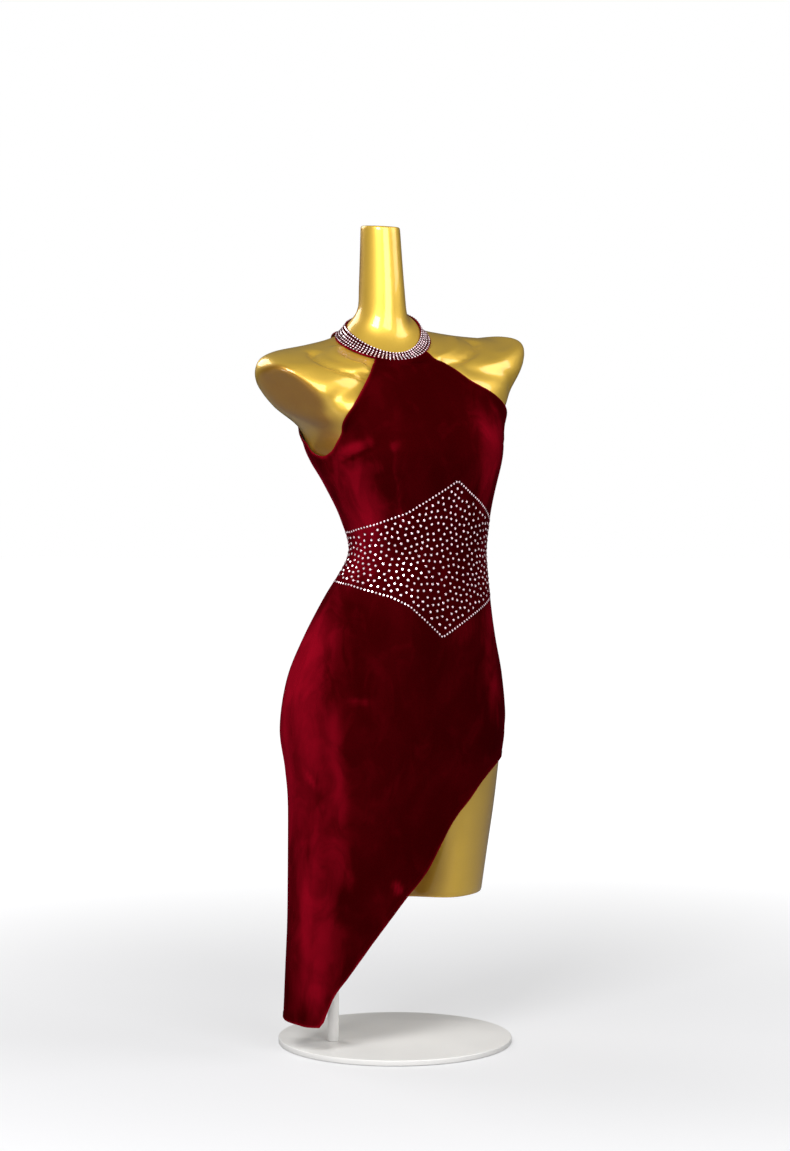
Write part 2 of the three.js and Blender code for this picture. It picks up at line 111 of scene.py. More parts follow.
THIGH_CLEFT = {"depth": 0.72, "top": 380, "fade": 90, "width": 34}
FOLD_FADE = 160

# Soft folds that hang in the skirt; the spread is half their width in degrees.
SKIRT_FOLDS = named("direction spread depth top", [
    (-124, 7, 4.5, 330),
    (-104, 6, 3.0, 300),
    (-84, 4, 3.0, 260),
    (-66, 6, 4.0, 330),
    (150, 9, 3.0, 380),
])

# The hem: the tail's end before and behind, then the slant up to the left hip.
TAIL_FRONT = [(-90, 50), (-83, 46), (-75, 41), (-60, 32)]
TAIL_BACK = [(-90, 50), (-83, 54), (-75, 56), (-60, 60)]
SLANT = [(-80, -10), (-75, 41), (-70, 87), (-63, 115), (-49, 164), (-29, 215), (-8, 254), (8, 295),
         (20, 323), (35, 348), (48, 373), (66, 396), (90, 404)]
CORNER_ROUND = 2.5

# The direction of each armhole's edge, by rows above the underarm.
ARMHOLE_ROWS = [0, 0.04, 0.2, 0.5, 0.9, 1.35, 1.8, 2.3, 3, 4, 5, 6, 7]
ARMHOLES = {
    "front right": [-90, -86, -80, -76, -72, -69, -65, -61, -58, -55, -51, -48, -46],
    "front left": [90, 87, 83, 79, 75, 69, 61, 53, 42, 36, 33, 31, 28],
    "back right": [-90, -94, -100, -104, -117, -126, -132, -137, -141, -144, -147, -148, -141],
    "back left": [90, 93, 98, 103, 114, 124, 131, 136, 140, 143, 146, 147, 140],
}
RIGHT_SIDE, LEFT_SIDE, CENTRE_BACK = -90, 90, 180

# Creases and darts in the cloth, (direction, height) at both ends; a negative depth is a ridge.
CREASES = named("start end width depth", [
    ((-85, 818), (-48, 838), 3.4, 1.4),
    ((-82, 829), (-50, 848), 6.5, -1.2),
    ((84, 838), (54, 848), 2.6, 0.9),
    ((80, 847), (57, 854), 6.0, -0.7),
    ((-86, 826), (-66, 806), 5.0, 1.0),
    ((-88, 812), (-70, 785), 6.0, 0.9),
    ((86, 822), (68, 800), 5.5, 0.9),
    ((-42, 836), (-51, 690), 2.6, 0.8),
    ((38, 834), (35, 765), 2.4, 0.6),
    ((-96, 735), (-62, 722), 6.0, 0.8),
    ((98, 704), (66, 694), 6.5, 0.9),
    ((-100, 668), (-70, 676), 7.0, 0.9),
    ((-60, 545), (-20, 520), 10.0, 0.8),
    ((-74, 470), (-48, 400), 9.0, 1.2),
    ((-60, 430), (-38, 340), 11.0, -1.2),
    ((-30, 420), (-22, 330), 9.0, 1.1),
    ((-70, 330), (-58, 190), 10.0, -1.3),
    ((-48, 320), (-42, 220), 8.0, 1.2),
    ((10, 440), (28, 400), 10.0, 0.9),
    ((60, 470), (82, 425), 9.0, 1.0),
    ((-80, 210), (-72, 90), 7.0, 1.4),
    ((150, 720), (196, 712), 8.0, 1.4),
    ((118, 697), (168, 690), 9.0, 1.5),
    ((196, 694), (240, 700), 9.0, 1.4),
    ((140, 664), (204, 656), 10.0, 1.2),
    ((112, 830), (140, 790), 8.0, 1.1),
    ((246, 826), (218, 784), 8.0, 1.1),
    ((130, 900), (150, 850), 7.0, 0.9),
    ((226, 902), (208, 848), 7.0, 0.9),
    ((200, 470), (226, 350), 12.0, 1.4),
    ((232, 430), (238, 260), 12.0, -1.4),
    ((150, 480), (136, 420), 11.0, 1.2),
    ((212, 330), (222, 230), 10.0, 1.2),
])

# The stone motif round the waist, (direction, height), with a point above and a point below.
MOTIF_TOP = [(-180, 722), (-130, 720), (-93, 723), (-68, 733), (-42, 749), (-31, 760), (3, 793),
             (17, 777), (56, 741), (93, 724), (130, 720), (180, 722)]
MOTIF_BOTTOM = [(-180, 654), (-130, 652), (-98, 652), (-80, 648), (-50, 633), (-34, 620), (1, 577),
                (35, 606), (49, 617), (80, 640), (98, 650), (130, 652), (180, 654)]

# Patches where the pile is brushed the other way, painted lighter as a painted sheen, and a few thin ones
# painted darker as painted shade along creases: (direction, height) of the middle, half sizes across and
# up, turn in degrees, and how much lighter (or darker) the pile lies.
NAP_AND_SHEEN_PATCHES = named("at size turn lean", [
    ((-76, 776), (44, 66), 0, 0.30),
    ((-66, 835), (28, 9), 20, 0.22),
    ((-72, 748), (12, 26), -10, 0.10),
    ((-57, 812), (22, 8), 12, 0.10),
    ((-66, 826), (26, 3.5), 18, -0.20),
    ((-46, 765), (3, 70), -6, 0.10),
    ((-43, 838), (10, 7), 20, 0.14),
    ((-106, 780), (18, 50), 0, 0.20),
    ((34, 838), (30, 50), -8, 0.30),
    ((50, 876), (16, 30), 0, 0.16),
    ((38, 775), (20, 40), 0, 0.20),
    ((-80, 690), (34, 50), 0, 0.20),
    ((52, 690), (24, 50), 0, 0.14),
    ((-90, 560), (38, 62), -6, 0.26),
    ((-86, 420), (58, 170), 0, 0.27),
    ((-68, 455), (10, 34), 0, 0.12),
    ((-67, 370), (12, 50), 3, 0.14),
    ((-82, 460), (16, 60), 8, 0.06),
    ((-66, 276), (16, 44), 8, 0.16),
    ((-58, 492), (15, 6), -8, 0.16),
    ((-61, 440), (6, 20), -10, -0.22),
    ((-80, 384), (4, 14), 32, 0.16),
    ((-77, 372), (7, 40), 10, -0.07),
    ((-81, 262), (4, 44), 4, -0.10),
    ((56, 520), (22, 70), 6, 0.22),
    ((60, 600), (20, 26), 0, 0.24),
    ((30, 588), (30, 18), 25, 0.10),
    ((-78, 165), (34, 120), 3, 0.27),
    ((-82, 190), (9, 60), 0, 0.14),
    ((-79, 92), (18, 26), -8, 0.10),
    ((-35, 236), (7, 12), 35, 0.30),
    ((-99, 400), (22, 230), 0, 0.14),
    ((-150, 800), (40, 70), 14, 0.24),
    ((146, 820), (36, 60), -12, 0.22),
    ((118, 740), (24, 50), 6, 0.20),
    ((-128, 520), (44, 90), 8, 0.28),
    ((140, 520), (46, 90), -10, 0.26),
    ((170, 430), (20, 80), 4, 0.14),
    ((-150, 330), (30, 90), -6, 0.26),
    ((-120, 200), (24, 100), 4, 0.30),
    ((-165, 640), (36, 30), 12, 0.16),
    ((96, 520), (22, 90), 0, 0.24),
])
NAP_AND_SHEEN_GROUND = 0.08

# Where the form's arms are cut: a plane's outward normal and its distance from the origin.
ARM_CUTS = [
    {"normal": (-0.80, -0.20, -0.57), "distance": -369},
    {"normal": (0.80, -0.20, -0.57), "distance": -373},
]
CUT_EDGE = {"soft": 3.0, "low": 840, "fade": 30}
# Painted shade: the gold is painted darker where shade falls, on the arm cuts and in patches, (direction,
# height) of the middle and half sizes in degrees and millimetres.
CUT_SHADE = {"depth": 9.0, "low": 790, "fade": 40, "share": 0.70}
DEEPEST_PAINTED_SHADE = 0.75
PAINTED_SHADE_PATCHES = named("at size share", [
    ((-92, 852), (26, 44), 0.50),
    ((92, 852), (26, 44), 0.50),
    ((8, 225), (17, 90), 0.85),
    ((84, 280), (24, 150), 0.70),
    ((-84, 280), (24, 150), 0.70),
    ((-122, 1100), (30, 90), 0.60),
    ((62, 1100), (26, 90), 0.55),
])
# Collar bones and hollows, (direction, rows above the underarm) at both ends; a negative height is
# a hollow.
CHEST_FORMS = named("start end width height", [
    ((-92, 6.8), (-57, 5.7), 8.0, 4.6),
    ((-86, 5.9), (-46, 4.2), 7.0, -7.0),
    ((-72, 1.9), (-54, 4.3), 13.0, -5.0),
    ((-90, 3.4), (-76, 4.6), 12.0, 2.0),
    ((84, 6.2), (38, 6.3), 7.0, 3.4),
    ((82, 5.7), (38, 5.4), 6.5, -5.5),
    ((70, 2.4), (50, 4.2), 14.0, -4.0),
    ((88, 3.6), (72, 4.6), 12.0, 2.0),
])


# ---- Curves -----------------------------------------------------------------------------------
def smooth_step(x):
    s = np.clip(x, 0, 1)
    return s * s * (3 - 2 * s)


def bell(x):
    return np.exp(-np.square(x))


def mix(a, b, share):
    return a + (b - a) * share


def turned(direction):
    """The same direction between -180 and 180 degrees."""
    return (np.asarray(direction) + 180) % 360 - 180


def lengths_along(line):
    """The line's length up to each of its points."""
    return np.concatenate([[0], np.cumsum(np.linalg.norm(np.diff(line, axis=0), axis=1))])


def run_along(line, share):
    """Directions and heights at shares of the way from a line's start to its end."""
    return (mix(line["start"][k], line["end"][k], share) for k in (0, 1))


def through_rows(values, at):
    """Smooth curves through the rows of a table at places counted in rows."""
    last = len(values) - 1
    place = np.clip(np.asarray(at, float), 0, last)
    i = np.minimum(np.floor(place).astype(int), last - 1)
    u = (place - i)[..., None]
    a, b, c, d = (values[np.clip(i + k, 0, last)] for k in (-1, 0, 1, 2))
    return 0.5 * (2 * b + (c - a) * u + (2 * a - 5 * b + 4 * c - d) * u**2 + (3 * b - a - 3 * c + d) * u**3)


def through_points(points, x):
    """A smooth curve through (x, y) points that lie at uneven steps."""
    xs, ys = np.array(points, float).T
    i = np.clip(np.searchsorted(xs, x) - 1, 0, len(xs) - 2)
    before, after = np.maximum(i - 1, 0), np.minimum(i + 2, len(xs) - 1)
    leaving = (ys[i + 1] - ys[before]) / (xs[i + 1] - xs[before])
    arriving = (ys[after] - ys[i]) / (xs[after] - xs[i])
    gap = xs[i + 1] - xs[i]
    u = np.clip((x - xs[i]) / gap, 0, 1)
    curved = gap * (leaving * u * (1 - u)**2 - arriving * u**2 * (1 - u))
    return ys[i] * (1 + 2 * u) * (1 - u)**2 + ys[i + 1] * u**2 * (3 - 2 * u) + curved


# ---- The figure's surface ---------------------------------------------------------------------
FINE_ROWS = 6000
SMALL_ROW = 1e-3
SMALL_TURN = 0.05
FORM_LINE_POINTS = 20


class Figure:
    """A body whose sections come from a table, with its folds, thigh cleft, arm cuts and chest forms."""

    def __init__(self, rows, folds=(), cleft=None, cuts=(), forms=()):
        self.names = [row[0] for row in rows]
        self.table = np.array([row[1:] for row in rows], float)
        self.folds = folds
        self.cleft = cleft
        self.cuts = cuts
        self.last = len(rows) - 1
        self.fine_at = np.linspace(0, self.names.index("underarm"), FINE_ROWS)
        self.fine_height = through_rows(self.table, self.fine_at)[:, 0]
        self.forms = [self.form_line(form) for form in forms]

    def row(self, name):
        return self.names.index(name)

    def row_at(self, height):
        """The place, in rows, of a level height below the underarm."""
        return np.interp(height, self.fine_height, self.fine_at)

    def form_line(self, form):
        direction, rows_up = run_along(form, np.linspace(0, 1, FORM_LINE_POINTS))
        return self.plain_point(direction, self.row("underarm") + rows_up), form["width"], form["height"]

    def plain_point(self, direction, at):
        direction, at = np.broadcast_arrays(np.asarray(direction, float), np.asarray(at, float))
        section = dict(zip(COLUMNS, np.moveaxis(through_rows(self.table, at), -1, 0)))
        sin, cos = np.sin(np.radians(direction)), np.cos(np.radians(direction))
        depth = np.where(cos > 0, section["fore"], section["aft"])
        square = np.where(cos > 0, section["square"], section["square_back"])
        half = section["half"]
        reach = (np.abs(sin / half) ** square + np.abs(cos / depth) ** square) ** (-1 / square)
        across, ahead = reach * sin, reach * cos / depth
        side, front, back = section["side"], section["front"], section["back"]
        height = side + (front - back) / 2 * ahead + ((front + back) / 2 - side) * ahead**2
        height = height + section["tilt"] * across / half
        from_bust = np.abs(turned(direction)) - BUST["direction"]
        spread = np.where(from_bust > 0, BUST["outer"], BUST["inner"])
        swell = BUST["rise"] * bell(from_bust / spread) * bell((height - BUST["height"]) / BUST["tall"])
        for fold in self.folds:
            away = turned(direction - fold["direction"])
            swell = swell - fold["depth"] * bell(away / fold["spread"]) * smooth_step(
                (fold["top"] - height) / FOLD_FADE)
        pinch = 1
        if self.cleft:
            sunk = smooth_step((self.cleft["top"] - height) / self.cleft["fade"])
            pinch = 1 - self.cleft["depth"] * sunk * bell(across / self.cleft["width"])
        x = section["x"] + across + swell * sin
        y = section["y"] - depth * ahead * pinch - swell * cos
        return np.stack([x, y, height], -1)

    def point(self, direction, at):
        place = self.plain_point(direction, at)
        for cut in self.cuts:
            normal = np.array(cut["normal"]) / np.linalg.norm(cut["normal"])
            beyond = (place @ normal - cut["distance"]) / CUT_EDGE["soft"]
            taken = (beyond + np.logaddexp(0, -beyond)) * CUT_EDGE["soft"]
            taken = taken * smooth_step((place[..., 2] - CUT_EDGE["low"]) / CUT_EDGE["fade"])
            place = place - taken[..., None] * normal
        return place

    def normal(self, direction, at):
        round_body = self.point(direction + SMALL_TURN, at) - self.point(direction - SMALL_TURN, at)
        upper = np.minimum(np.asarray(at, float) + SMALL_ROW, self.last)
        lower = np.maximum(np.asarray(at, float) - SMALL_ROW, 0)
        up_body = self.point(direction, upper) - self.point(direction, lower)
        out = np.cross(round_body, up_body)
        return out / np.linalg.norm(out, axis=-1, keepdims=True)

    def outside(self, direction, at, distance):
        """Places moved out from the surface, square to it."""
        distance = np.asarray(distance, float)[..., None]
        place = self.point(direction, at) + self.normal(direction, at) * distance
        for line, width, height in self.forms:
            away = np.linalg.norm(place[..., None, :] - line, axis=-1).min(-1)
            place = place + self.normal(direction, at) * (height * bell(away / width))[..., None]
        return place

    def per_degree(self, direction, at):
        """Millimetres of cloth for one degree round the body."""
        step = self.point(direction + 0.5, at) - self.point(direction - 0.5, at)
        return np.linalg.norm(step, axis=-1)


dress_figure = Figure(SKIRT_ROWS + TORSO_ROWS, folds=SKIRT_FOLDS)
form_figure = Figure(STUMP_ROWS + TORSO_ROWS, cleft=THIGH_CLEFT, cuts=ARM_CUTS, forms=CHEST_FORMS)


# ---- Settings ---------------------------------------------------------------------------------
def size(name, default, description):
    return FloatProperty(name=name, default=default, description=description, unit="LENGTH", precision=5)


def colour(name, default, description):
    return FloatVectorProperty(name=name, default=default, description=description, subtype="COLOR",
                               size=3, min=0, max=1)


class ClothSettings(PropertyGroup):
    ease: size("Ease", 2.0 * MM, "Gap between the dress and the form")
    halter_ease: size("Halter ease", 2.8 * MM, "Gap between the halter and the form")
    wall: size("Thickness", 1.4 * MM, "Thickness of the velvet")
    seam_gap: size("Seam gap", 0.04 * MM, "Gap between two panels at their seam")
    hem_width: size("Hem width", 7.0 * MM, "Width of the turned hem")
    hem_rise: size("Hem rise", 0.55 * MM, "Added thickness of the turned hem")
    seam_rise: size("Seam rise", 0.25 * MM, "Added thickness over a seam allowance")
    # The velvet's colour runs between the dark and the bright pile with its painted sheen.
    dark: colour("Dark pile", (0.029, 0.0001, 0.0005), "Pile that leans away")
    bright: colour("Bright pile", (0.240, 0.002, 0.010), "Pile that leans to the light")
    lining_side: colour("Wrong side", (0.130, 0.004, 0.010), "Knitted wrong side of the velvet")


class StoneSettings(PropertyGroup):
    width: size("Width", 4.1 * MM, "Width of a stone inside the motif")
    border_width: size("Border width", 3.4 * MM, "Width of a stone on the motif's border")
    collar_width: size("Collar width", 3.0 * MM, "Width of a stone on the collar")
    height_share: FloatProperty(name="Height share", default=0.17,
                                description="A stone's height by its width")
    sides: IntProperty(name="Sides", default=8, min=5, max=12, description="Sides of a stone")
    border_pitch: size("Border pitch", 5.2 * MM, "Distance between stones along the motif's border")
    spacing: size("Spacing", 6.5 * MM, "Least distance between stones inside the motif")
    collar_rows: IntProperty(name="Collar rows", default=5, description="Rows of stones on the collar")
    collar_pitch: size("Collar pitch", 5.0 * MM, "Distance between stones along the collar")
    tint: colour("Tint", (0.96, 0.84, 0.87), "Colour of the clear stones")


class CollarSettings(PropertyGroup):
    ease: size("Ease", 0.7 * MM, "Gap between the collar and the form")
    wall: size("Thickness", 2.4 * MM, "Thickness of the collar band")


class FormSettings(PropertyGroup):
    sides: IntProperty(name="Sides", default=168, description="Columns of faces round the form")
    steps: IntProperty(name="Steps", default=9, description="Rows of faces between two sections")
    gold: colour("Gold", (0.82, 0.53, 0.068), "Colour of the lacquer")
    # The deep gold is a painted shade, mixed into the gold where shade falls.
    shade: colour("Painted shade gold", (0.26, 0.095, 0.003), "Colour of the painted shade on the gold")


class StandSettings(PropertyGroup):
    plate_radius: size("Plate radius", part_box("stand_base")[1][0], "Radius of the stand's plate")
    plate_height: size("Plate height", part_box("stand_base")[1][2], "Thickness of the stand's plate")
    pole_radius: size("Pole radius", 8 * MM, "Radius of the pole")
    enamel: colour("Enamel", (0.80, 0.79, 0.77), "Colour of the enamel")
    steel: colour("Steel", (0.62, 0.63, 0.65), "Colour of the hook")


class StudioSettings(PropertyGroup):
    azimuth: FloatProperty(name="Azimuth", default=math.radians(-37), subtype="ANGLE",
                           description="Where the camera stands round the form")
    distance: size("Distance", 3.6, "Distance from the camera to the form's axis")
    height: size("Height", 0.766, "Height of the camera")
    pitch: FloatProperty(name="Pitch", default=math.radians(-1.69), subtype="ANGLE",
                         description="How far the camera looks down")
    lens: FloatProperty(name="Lens", default=79.9, description="Focal length", unit="CAMERA")
    floor: colour("Floor", (0.34, 0.34, 0.35), "Colour of the floor")


class DressSettings(PropertyGroup):
    cloth: PointerProperty(type=ClothSettings, name="Cloth", description="Velvet panels")
    stones: PointerProperty(type=StoneSettings, name="Stones", description="Clear stones")
    collar: PointerProperty(type=CollarSettings, name="Collar", description="Collar band")
    form: PointerProperty(type=FormSettings, name="Form", description="Display form")
    stand: PointerProperty(type=StandSettings, name="Stand", description="Plate, pole and socket")
    studio: PointerProperty(type=StudioSettings, name="Studio", description="Floor, lights and camera")


# ---- Meshes -----------------------------------------------------------------------------------
def mesh_object(name, points, faces, smooth=True):
    """A new object at the origin from points in millimetres."""
    mesh = bpy.data.meshes.new(name)
    mesh.from_pydata((np.asarray(points) * MM).tolist(), [], faces)
    mesh.polygons.foreach_set("use_smooth", [smooth] * len(mesh.polygons))
    mesh.update()
    piece = bpy.data.objects.new(name, mesh)
    bpy.context.collection.objects.link(piece)
    return piece


def grid_faces(rows, columns, start=0, flip=False, closed=False):
    """Quads of a grid whose points run row by row, seen from outside with rows upwards."""
    faces = []
    for j in range(rows - 1):
        for i in range(columns if closed else columns - 1):
            a, b = start + j * columns + i, start + j * columns + (i + 1) % columns
            quad = (a, b, b + columns, a + columns)
            faces.append(quad[::-1] if flip else quad)
    return faces


def shell(name, outer, inner):
    """A cloth wall between two grids of points, closed along its four edges."""
    rows, columns = outer.shape[:2]
    count = rows * columns
    faces = grid_faces(rows, columns) + grid_faces(rows, columns, start=count, flip=True)
    ring = list(range(columns))
    ring += [j * columns + columns - 1 for j in range(1, rows)]
    ring += [(rows - 1) * columns + i for i in range(columns - 2, -1, -1)]
    ring += [j * columns for j in range(rows - 2, 0, -1)]
    rim = [(a, a + count, b + count, b) for a, b in zip(ring, ring[1:] + ring[:1])]
    piece = mesh_object(name, np.concatenate([outer.reshape(-1, 3), inner.reshape(-1, 3)]), faces + rim)
    wrong_side = range(len(faces) // 2, len(faces))
    return piece, wrong_side


def clear_selection():
    bpy.ops.object.select_all(action="DESELECT")


def store(piece, name, domain, values):
    """Stores a value on each point or face, for a shader."""
    piece.data.attributes.new(name, "FLOAT", domain).data.foreach_set("value", np.ravel(values))


def show(piece):
    clear_selection()
    piece.select_set(True)
    bpy.context.view_layer.objects.active = piece


def settle(piece):
    """Puts the piece's place into its mesh."""
    show(piece)
    bpy.ops.object.transform_apply(location=True, rotation=True, scale=True)


def select_faces(piece, wanted):
    """Selects the faces that `wanted` accepts, in face mode and in edit mode."""
    bpy.ops.object.mode_set(mode="OBJECT")
    for vertex in piece.data.vertices:
        vertex.select = False
    for edge in piece.data.edges:
        edge.select = False
    for face in piece.data.polygons:
        face.select = wanted(face)
    bpy.ops.object.mode_set(mode="EDIT")
    bpy.ops.mesh.select_mode(type="FACE")


def cylinder(name, radius, low, high, x=0.0, y=0.0, vertices=96):
    clear_selection()
    bpy.ops.mesh.primitive_cylinder_add(vertices=vertices, radius=radius, depth=high - low,
                                        location=(x, y, (low + high) / 2))
    piece = bpy.context.active_object
    piece.name = name
    settle(piece)
    return piece


SHARP_ANGLE = math.radians(30)


def soften(piece, width, segments=3):
    """Rounds the sharp edges and shades the rest smooth."""
    bevel = piece.modifiers.new("Bevel", "BEVEL")
    bevel.width, bevel.segments = width, segments
    bevel.limit_method, bevel.angle_limit = "ANGLE", SHARP_ANGLE
    show(piece)
    bpy.ops.object.modifier_apply(modifier=bevel.name)
    bpy.ops.object.shade_smooth_by_angle(angle=SHARP_ANGLE)


# ---- Materials --------------------------------------------------------------------------------
def add_node(tree, kind, inputs=None, **settings):
    node = tree.nodes.new(kind)
    for key, value in settings.items():
        setattr(node, key, value)
    for key, value in (inputs or {}).items():
        if isinstance(value, bpy.types.NodeSocket):
            tree.links.new(value, node.inputs[key])
        else:
            node.inputs[key].default_value = value
    return node


def new_material(name, **sockets):
    """A principled material with constant sockets, its tree, shader and object coordinates."""
    material = bpy.data.materials.new(name)
    material.use_nodes = True
    tree = material.node_tree
    shader = tree.nodes["Principled BSDF"]
    for key, value in sockets.items():
        shader.inputs[key.replace("_", " ").title().replace("Ior", "IOR")].default_value = value
    place = add_node(tree, "ShaderNodeTexCoord").outputs["Object"]
    return material, tree, shader, place


def noise(tree, place, scale, detail=2.0, roughness=0.5, distortion=0.0, stretch=None):
    if stretch:
        place = add_node(tree, "ShaderNodeMapping", {"Vector": place, "Scale": stretch}).outputs["Vector"]
    return add_node(tree, "ShaderNodeTexNoise", {"Vector": place, "Scale": scale, "Detail": detail,
                    "Roughness": roughness, "Distortion": distortion}).outputs["Fac"]


def limits(tree, value, low, high, to_low=0.0, to_high=1.0):
    return add_node(tree, "ShaderNodeMapRange", {"Value": value, "From Min": low, "From Max": high,
                    "To Min": to_low, "To Max": to_high}, interpolation_type="SMOOTHSTEP").outputs["Result"]


def blend(tree, share, first, second):
    node = add_node(tree, "ShaderNodeMix", data_type="RGBA")
    for socket, value in zip((node.inputs[0], node.inputs[6], node.inputs[7]), (share, first, second)):
        if isinstance(value, bpy.types.NodeSocket):
            tree.links.new(value, socket)
        else:
            socket.default_value = value if isinstance(value, float) else (*value, 1.0)
    return node.outputs[2]


def calculate(tree, operation, first, second):
    return add_node(tree, "ShaderNodeMath", {0: first, 1: second}, operation=operation).outputs[0]


def attribute(tree, name):
    return add_node(tree, "ShaderNodeAttribute", attribute_name=name).outputs["Fac"]


def camera_ray(tree):
    return add_node(tree, "ShaderNodeLightPath").outputs["Is Camera Ray"]


def dimmed(shade, share):
    return tuple(c * share for c in shade)


def paint(tree, shader, share, first, second):
    """Mixes the shader's colour from two."""
    tree.links.new(blend(tree, share, first, second), shader.inputs["Base Color"])


def bumps(tree, shader, layers):
    """Stacks (height, strength, distance) layers into the shader's normal."""
    normal = None
    for height, strength, distance in layers:
        inputs = {"Height": height, "Strength": strength, "Distance": distance}
        if normal:
            inputs["Normal"] = normal
        normal = add_node(tree, "ShaderNodeBump", inputs).outputs["Normal"]
    tree.links.new(normal, shader.inputs["Normal"])


def velvet_material(cloth):
    """Stretch velvet with a thick pile and a soft sheen; its colour is painted lighter in patches where the
    pile would catch the light (painted sheen) and darker along a few creases (painted shade).
    """
    material, tree, shader, place = new_material("wine velvet", roughness=0.85, specular_ior_level=0.0,
                                                 sheen_weight=0.25, sheen_roughness=0.25)
    shader.inputs["Sheen Tint"].default_value = (0.90, 0.02, 0.08, 1)
    # The stored share paints the pile lighter where it would catch the light, a painted sheen and
    # highlight, with painted shade along a few creases.
    nap_and_sheen = attribute(tree, "nap_and_sheen")
    ragged = noise(tree, place, 30.0, detail=3.0, roughness=0.6, distortion=0.8, stretch=(1.0, 1.0, 0.5))
    cloudy = noise(tree, place, 9.0, detail=3.0, roughness=0.5, distortion=0.6)
    pile = noise(tree, place, 2600.0, detail=2.0, roughness=0.7)
    brushed_and_sheen = calculate(tree, "ADD", nap_and_sheen, limits(tree, ragged, 0.3, 0.7, -0.07, 0.07))
    lean = calculate(tree, "ADD", limits(tree, brushed_and_sheen, 0.06, 0.68),
                     limits(tree, cloudy, 0.35, 0.65, -0.03, 0.05))
    lean = calculate(tree, "ADD", lean, limits(tree, pile, 0.3, 0.7, -0.04, 0.04))
    paint(tree, shader, lean, cloth.dark, cloth.bright)
    bumps(tree, shader, [(pile, 0.35, 0.0002)])
    return material


def wrong_side_material(cloth):
    """The knitted back of the velvet, with its fine ribs."""
    material, tree, shader, place = new_material("velvet wrong side", roughness=0.9, specular_ior_level=0.2,
                                                 sheen_weight=0.15, sheen_roughness=0.5)
    ribs = add_node(tree, "ShaderNodeTexWave", {"Vector": place, "Scale": 330.0, "Distortion": 0.6,
                    "Detail": 1.0}, wave_type="BANDS", bands_direction="X").outputs["Fac"]
    cloudy = noise(tree, place, 30.0, detail=3.0)
    paint(tree, shader, cloudy, dimmed(cloth.lining_side, 0.6), cloth.lining_side)
    bumps(tree, shader, [(ribs, 0.3, 0.0003)])
    return material


FACET_SHADE_SHARES = (0.36, 0.20, 0.24)


def stone_material(stones):
    """Clear foil-backed stones over mirror facets: each table glows with a painted glint, and the facets
    take a darker copy of the tint as painted shade.
    """
    material, tree, shader, place = new_material("clear stones", metallic=0.8, roughness=0.16,
                                                 coat_weight=1.0, coat_roughness=0.02, ior=1.55)
    table = attribute(tree, "table")
    spark = noise(tree, place, 420.0, detail=0.0)
    tint = tuple(stones.tint)
    # Painted shade: the facets take a darker copy of the tint.
    facet_shade = tuple(c * share for c, share in zip(tint, FACET_SHADE_SHARES))
    paint(tree, shader, table, facet_shade, tint)
    # Painted glint: each table glows by its stored shine and a fine noise.
    glow = calculate(tree, "MULTIPLY", table, limits(tree, spark, 0.35, 0.65, 0.60, 0.95))
    shader.inputs["Emission Color"].default_value = (*tint, 1)
    tree.links.new(calculate(tree, "ADD", glow, 0.03), shader.inputs["Emission Strength"])
    return material


def gold_material(form):
    """Pearl gold paint under a thick gloss lacquer."""
    material, tree, shader, place = new_material("gold lacquer", metallic=0.60, roughness=0.42,
                                                 coat_weight=0.8, coat_roughness=0.03, coat_ior=1.5)
    cloudy = noise(tree, place, 7.0, detail=3.0)
    flakes = noise(tree, place, 1900.0, detail=1.0)
    orange_peel = noise(tree, place, 150.0, detail=2.0)
    # Painted shade: the gold is mixed towards its shade colour where shade falls on the form.
    painted_shade = attribute(tree, "painted_shade")
    share = calculate(tree, "ADD", limits(tree, cloudy, 0.35, 0.65, 0.0, 0.10),
                      limits(tree, flakes, 0.45, 0.62, 0.0, 0.08))
    share = calculate(tree, "ADD", share, painted_shade)
    paint(tree, shader, share, form.gold, form.shade)
    bumps(tree, shader, [(orange_peel, 0.05, 0.0004), (flakes, 0.10, 0.0001)])
    return material


def enamel_material(stand):
    """Satin powder coat with its fine orange peel."""
    material, tree, shader, place = new_material("white enamel", roughness=0.42, specular_ior_level=0.5)
    peel = noise(tree, place, 900.0, detail=2.0)
    cloudy = noise(tree, place, 14.0, detail=3.0)
    paint(tree, shader, cloudy, stand.enamel, dimmed(stand.enamel, 0.94))
    tree.links.new(limits(tree, cloudy, 0.3, 0.7, 0.36, 0.50), shader.inputs["Roughness"])
    bumps(tree, shader, [(peel, 0.18, 0.0003)])
    return material


def steel_material(stand):
    """Nickelled steel, drawn lengthwise."""
    material, tree, shader, place = new_material("hook steel", metallic=1.0, roughness=0.25)
    drawn = noise(tree, place, 900.0, detail=2.0, stretch=(1.0, 1.0, 0.05))
    paint(tree, shader, drawn, stand.steel, dimmed(stand.steel, 0.75))
    bumps(tree, shader, [(drawn, 0.15, 0.0002)])
    return material


MATERIALS = {
    "velvet": (velvet_material, "cloth"),
    "wrong side": (wrong_side_material, "cloth"),
    "stones": (stone_material, "stones"),
    "gold": (gold_material, "form"),
    "enamel": (enamel_material, "stand"),
    "steel": (steel_material, "stand"),
}
made_materials = {}


def material_for(kind, settings):
    if kind not in made_materials:
        maker, group = MATERIALS[kind]
        made_materials[kind] = maker(getattr(settings, group))
    return made_materials[kind]


def finish_piece(piece, settings, kinds, replaced=()):
    """Gives a piece its materials and its body."""
    for kind in kinds:
        piece.data.materials.append(material_for(kind, settings))
    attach(piece, BODY)
    if replaced:
        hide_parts(*replaced)


# ---- The dress's cut, in millimetres ----------------------------------------------------------
HIP_LEVEL, UNDERARM_LEVEL = 425, 827
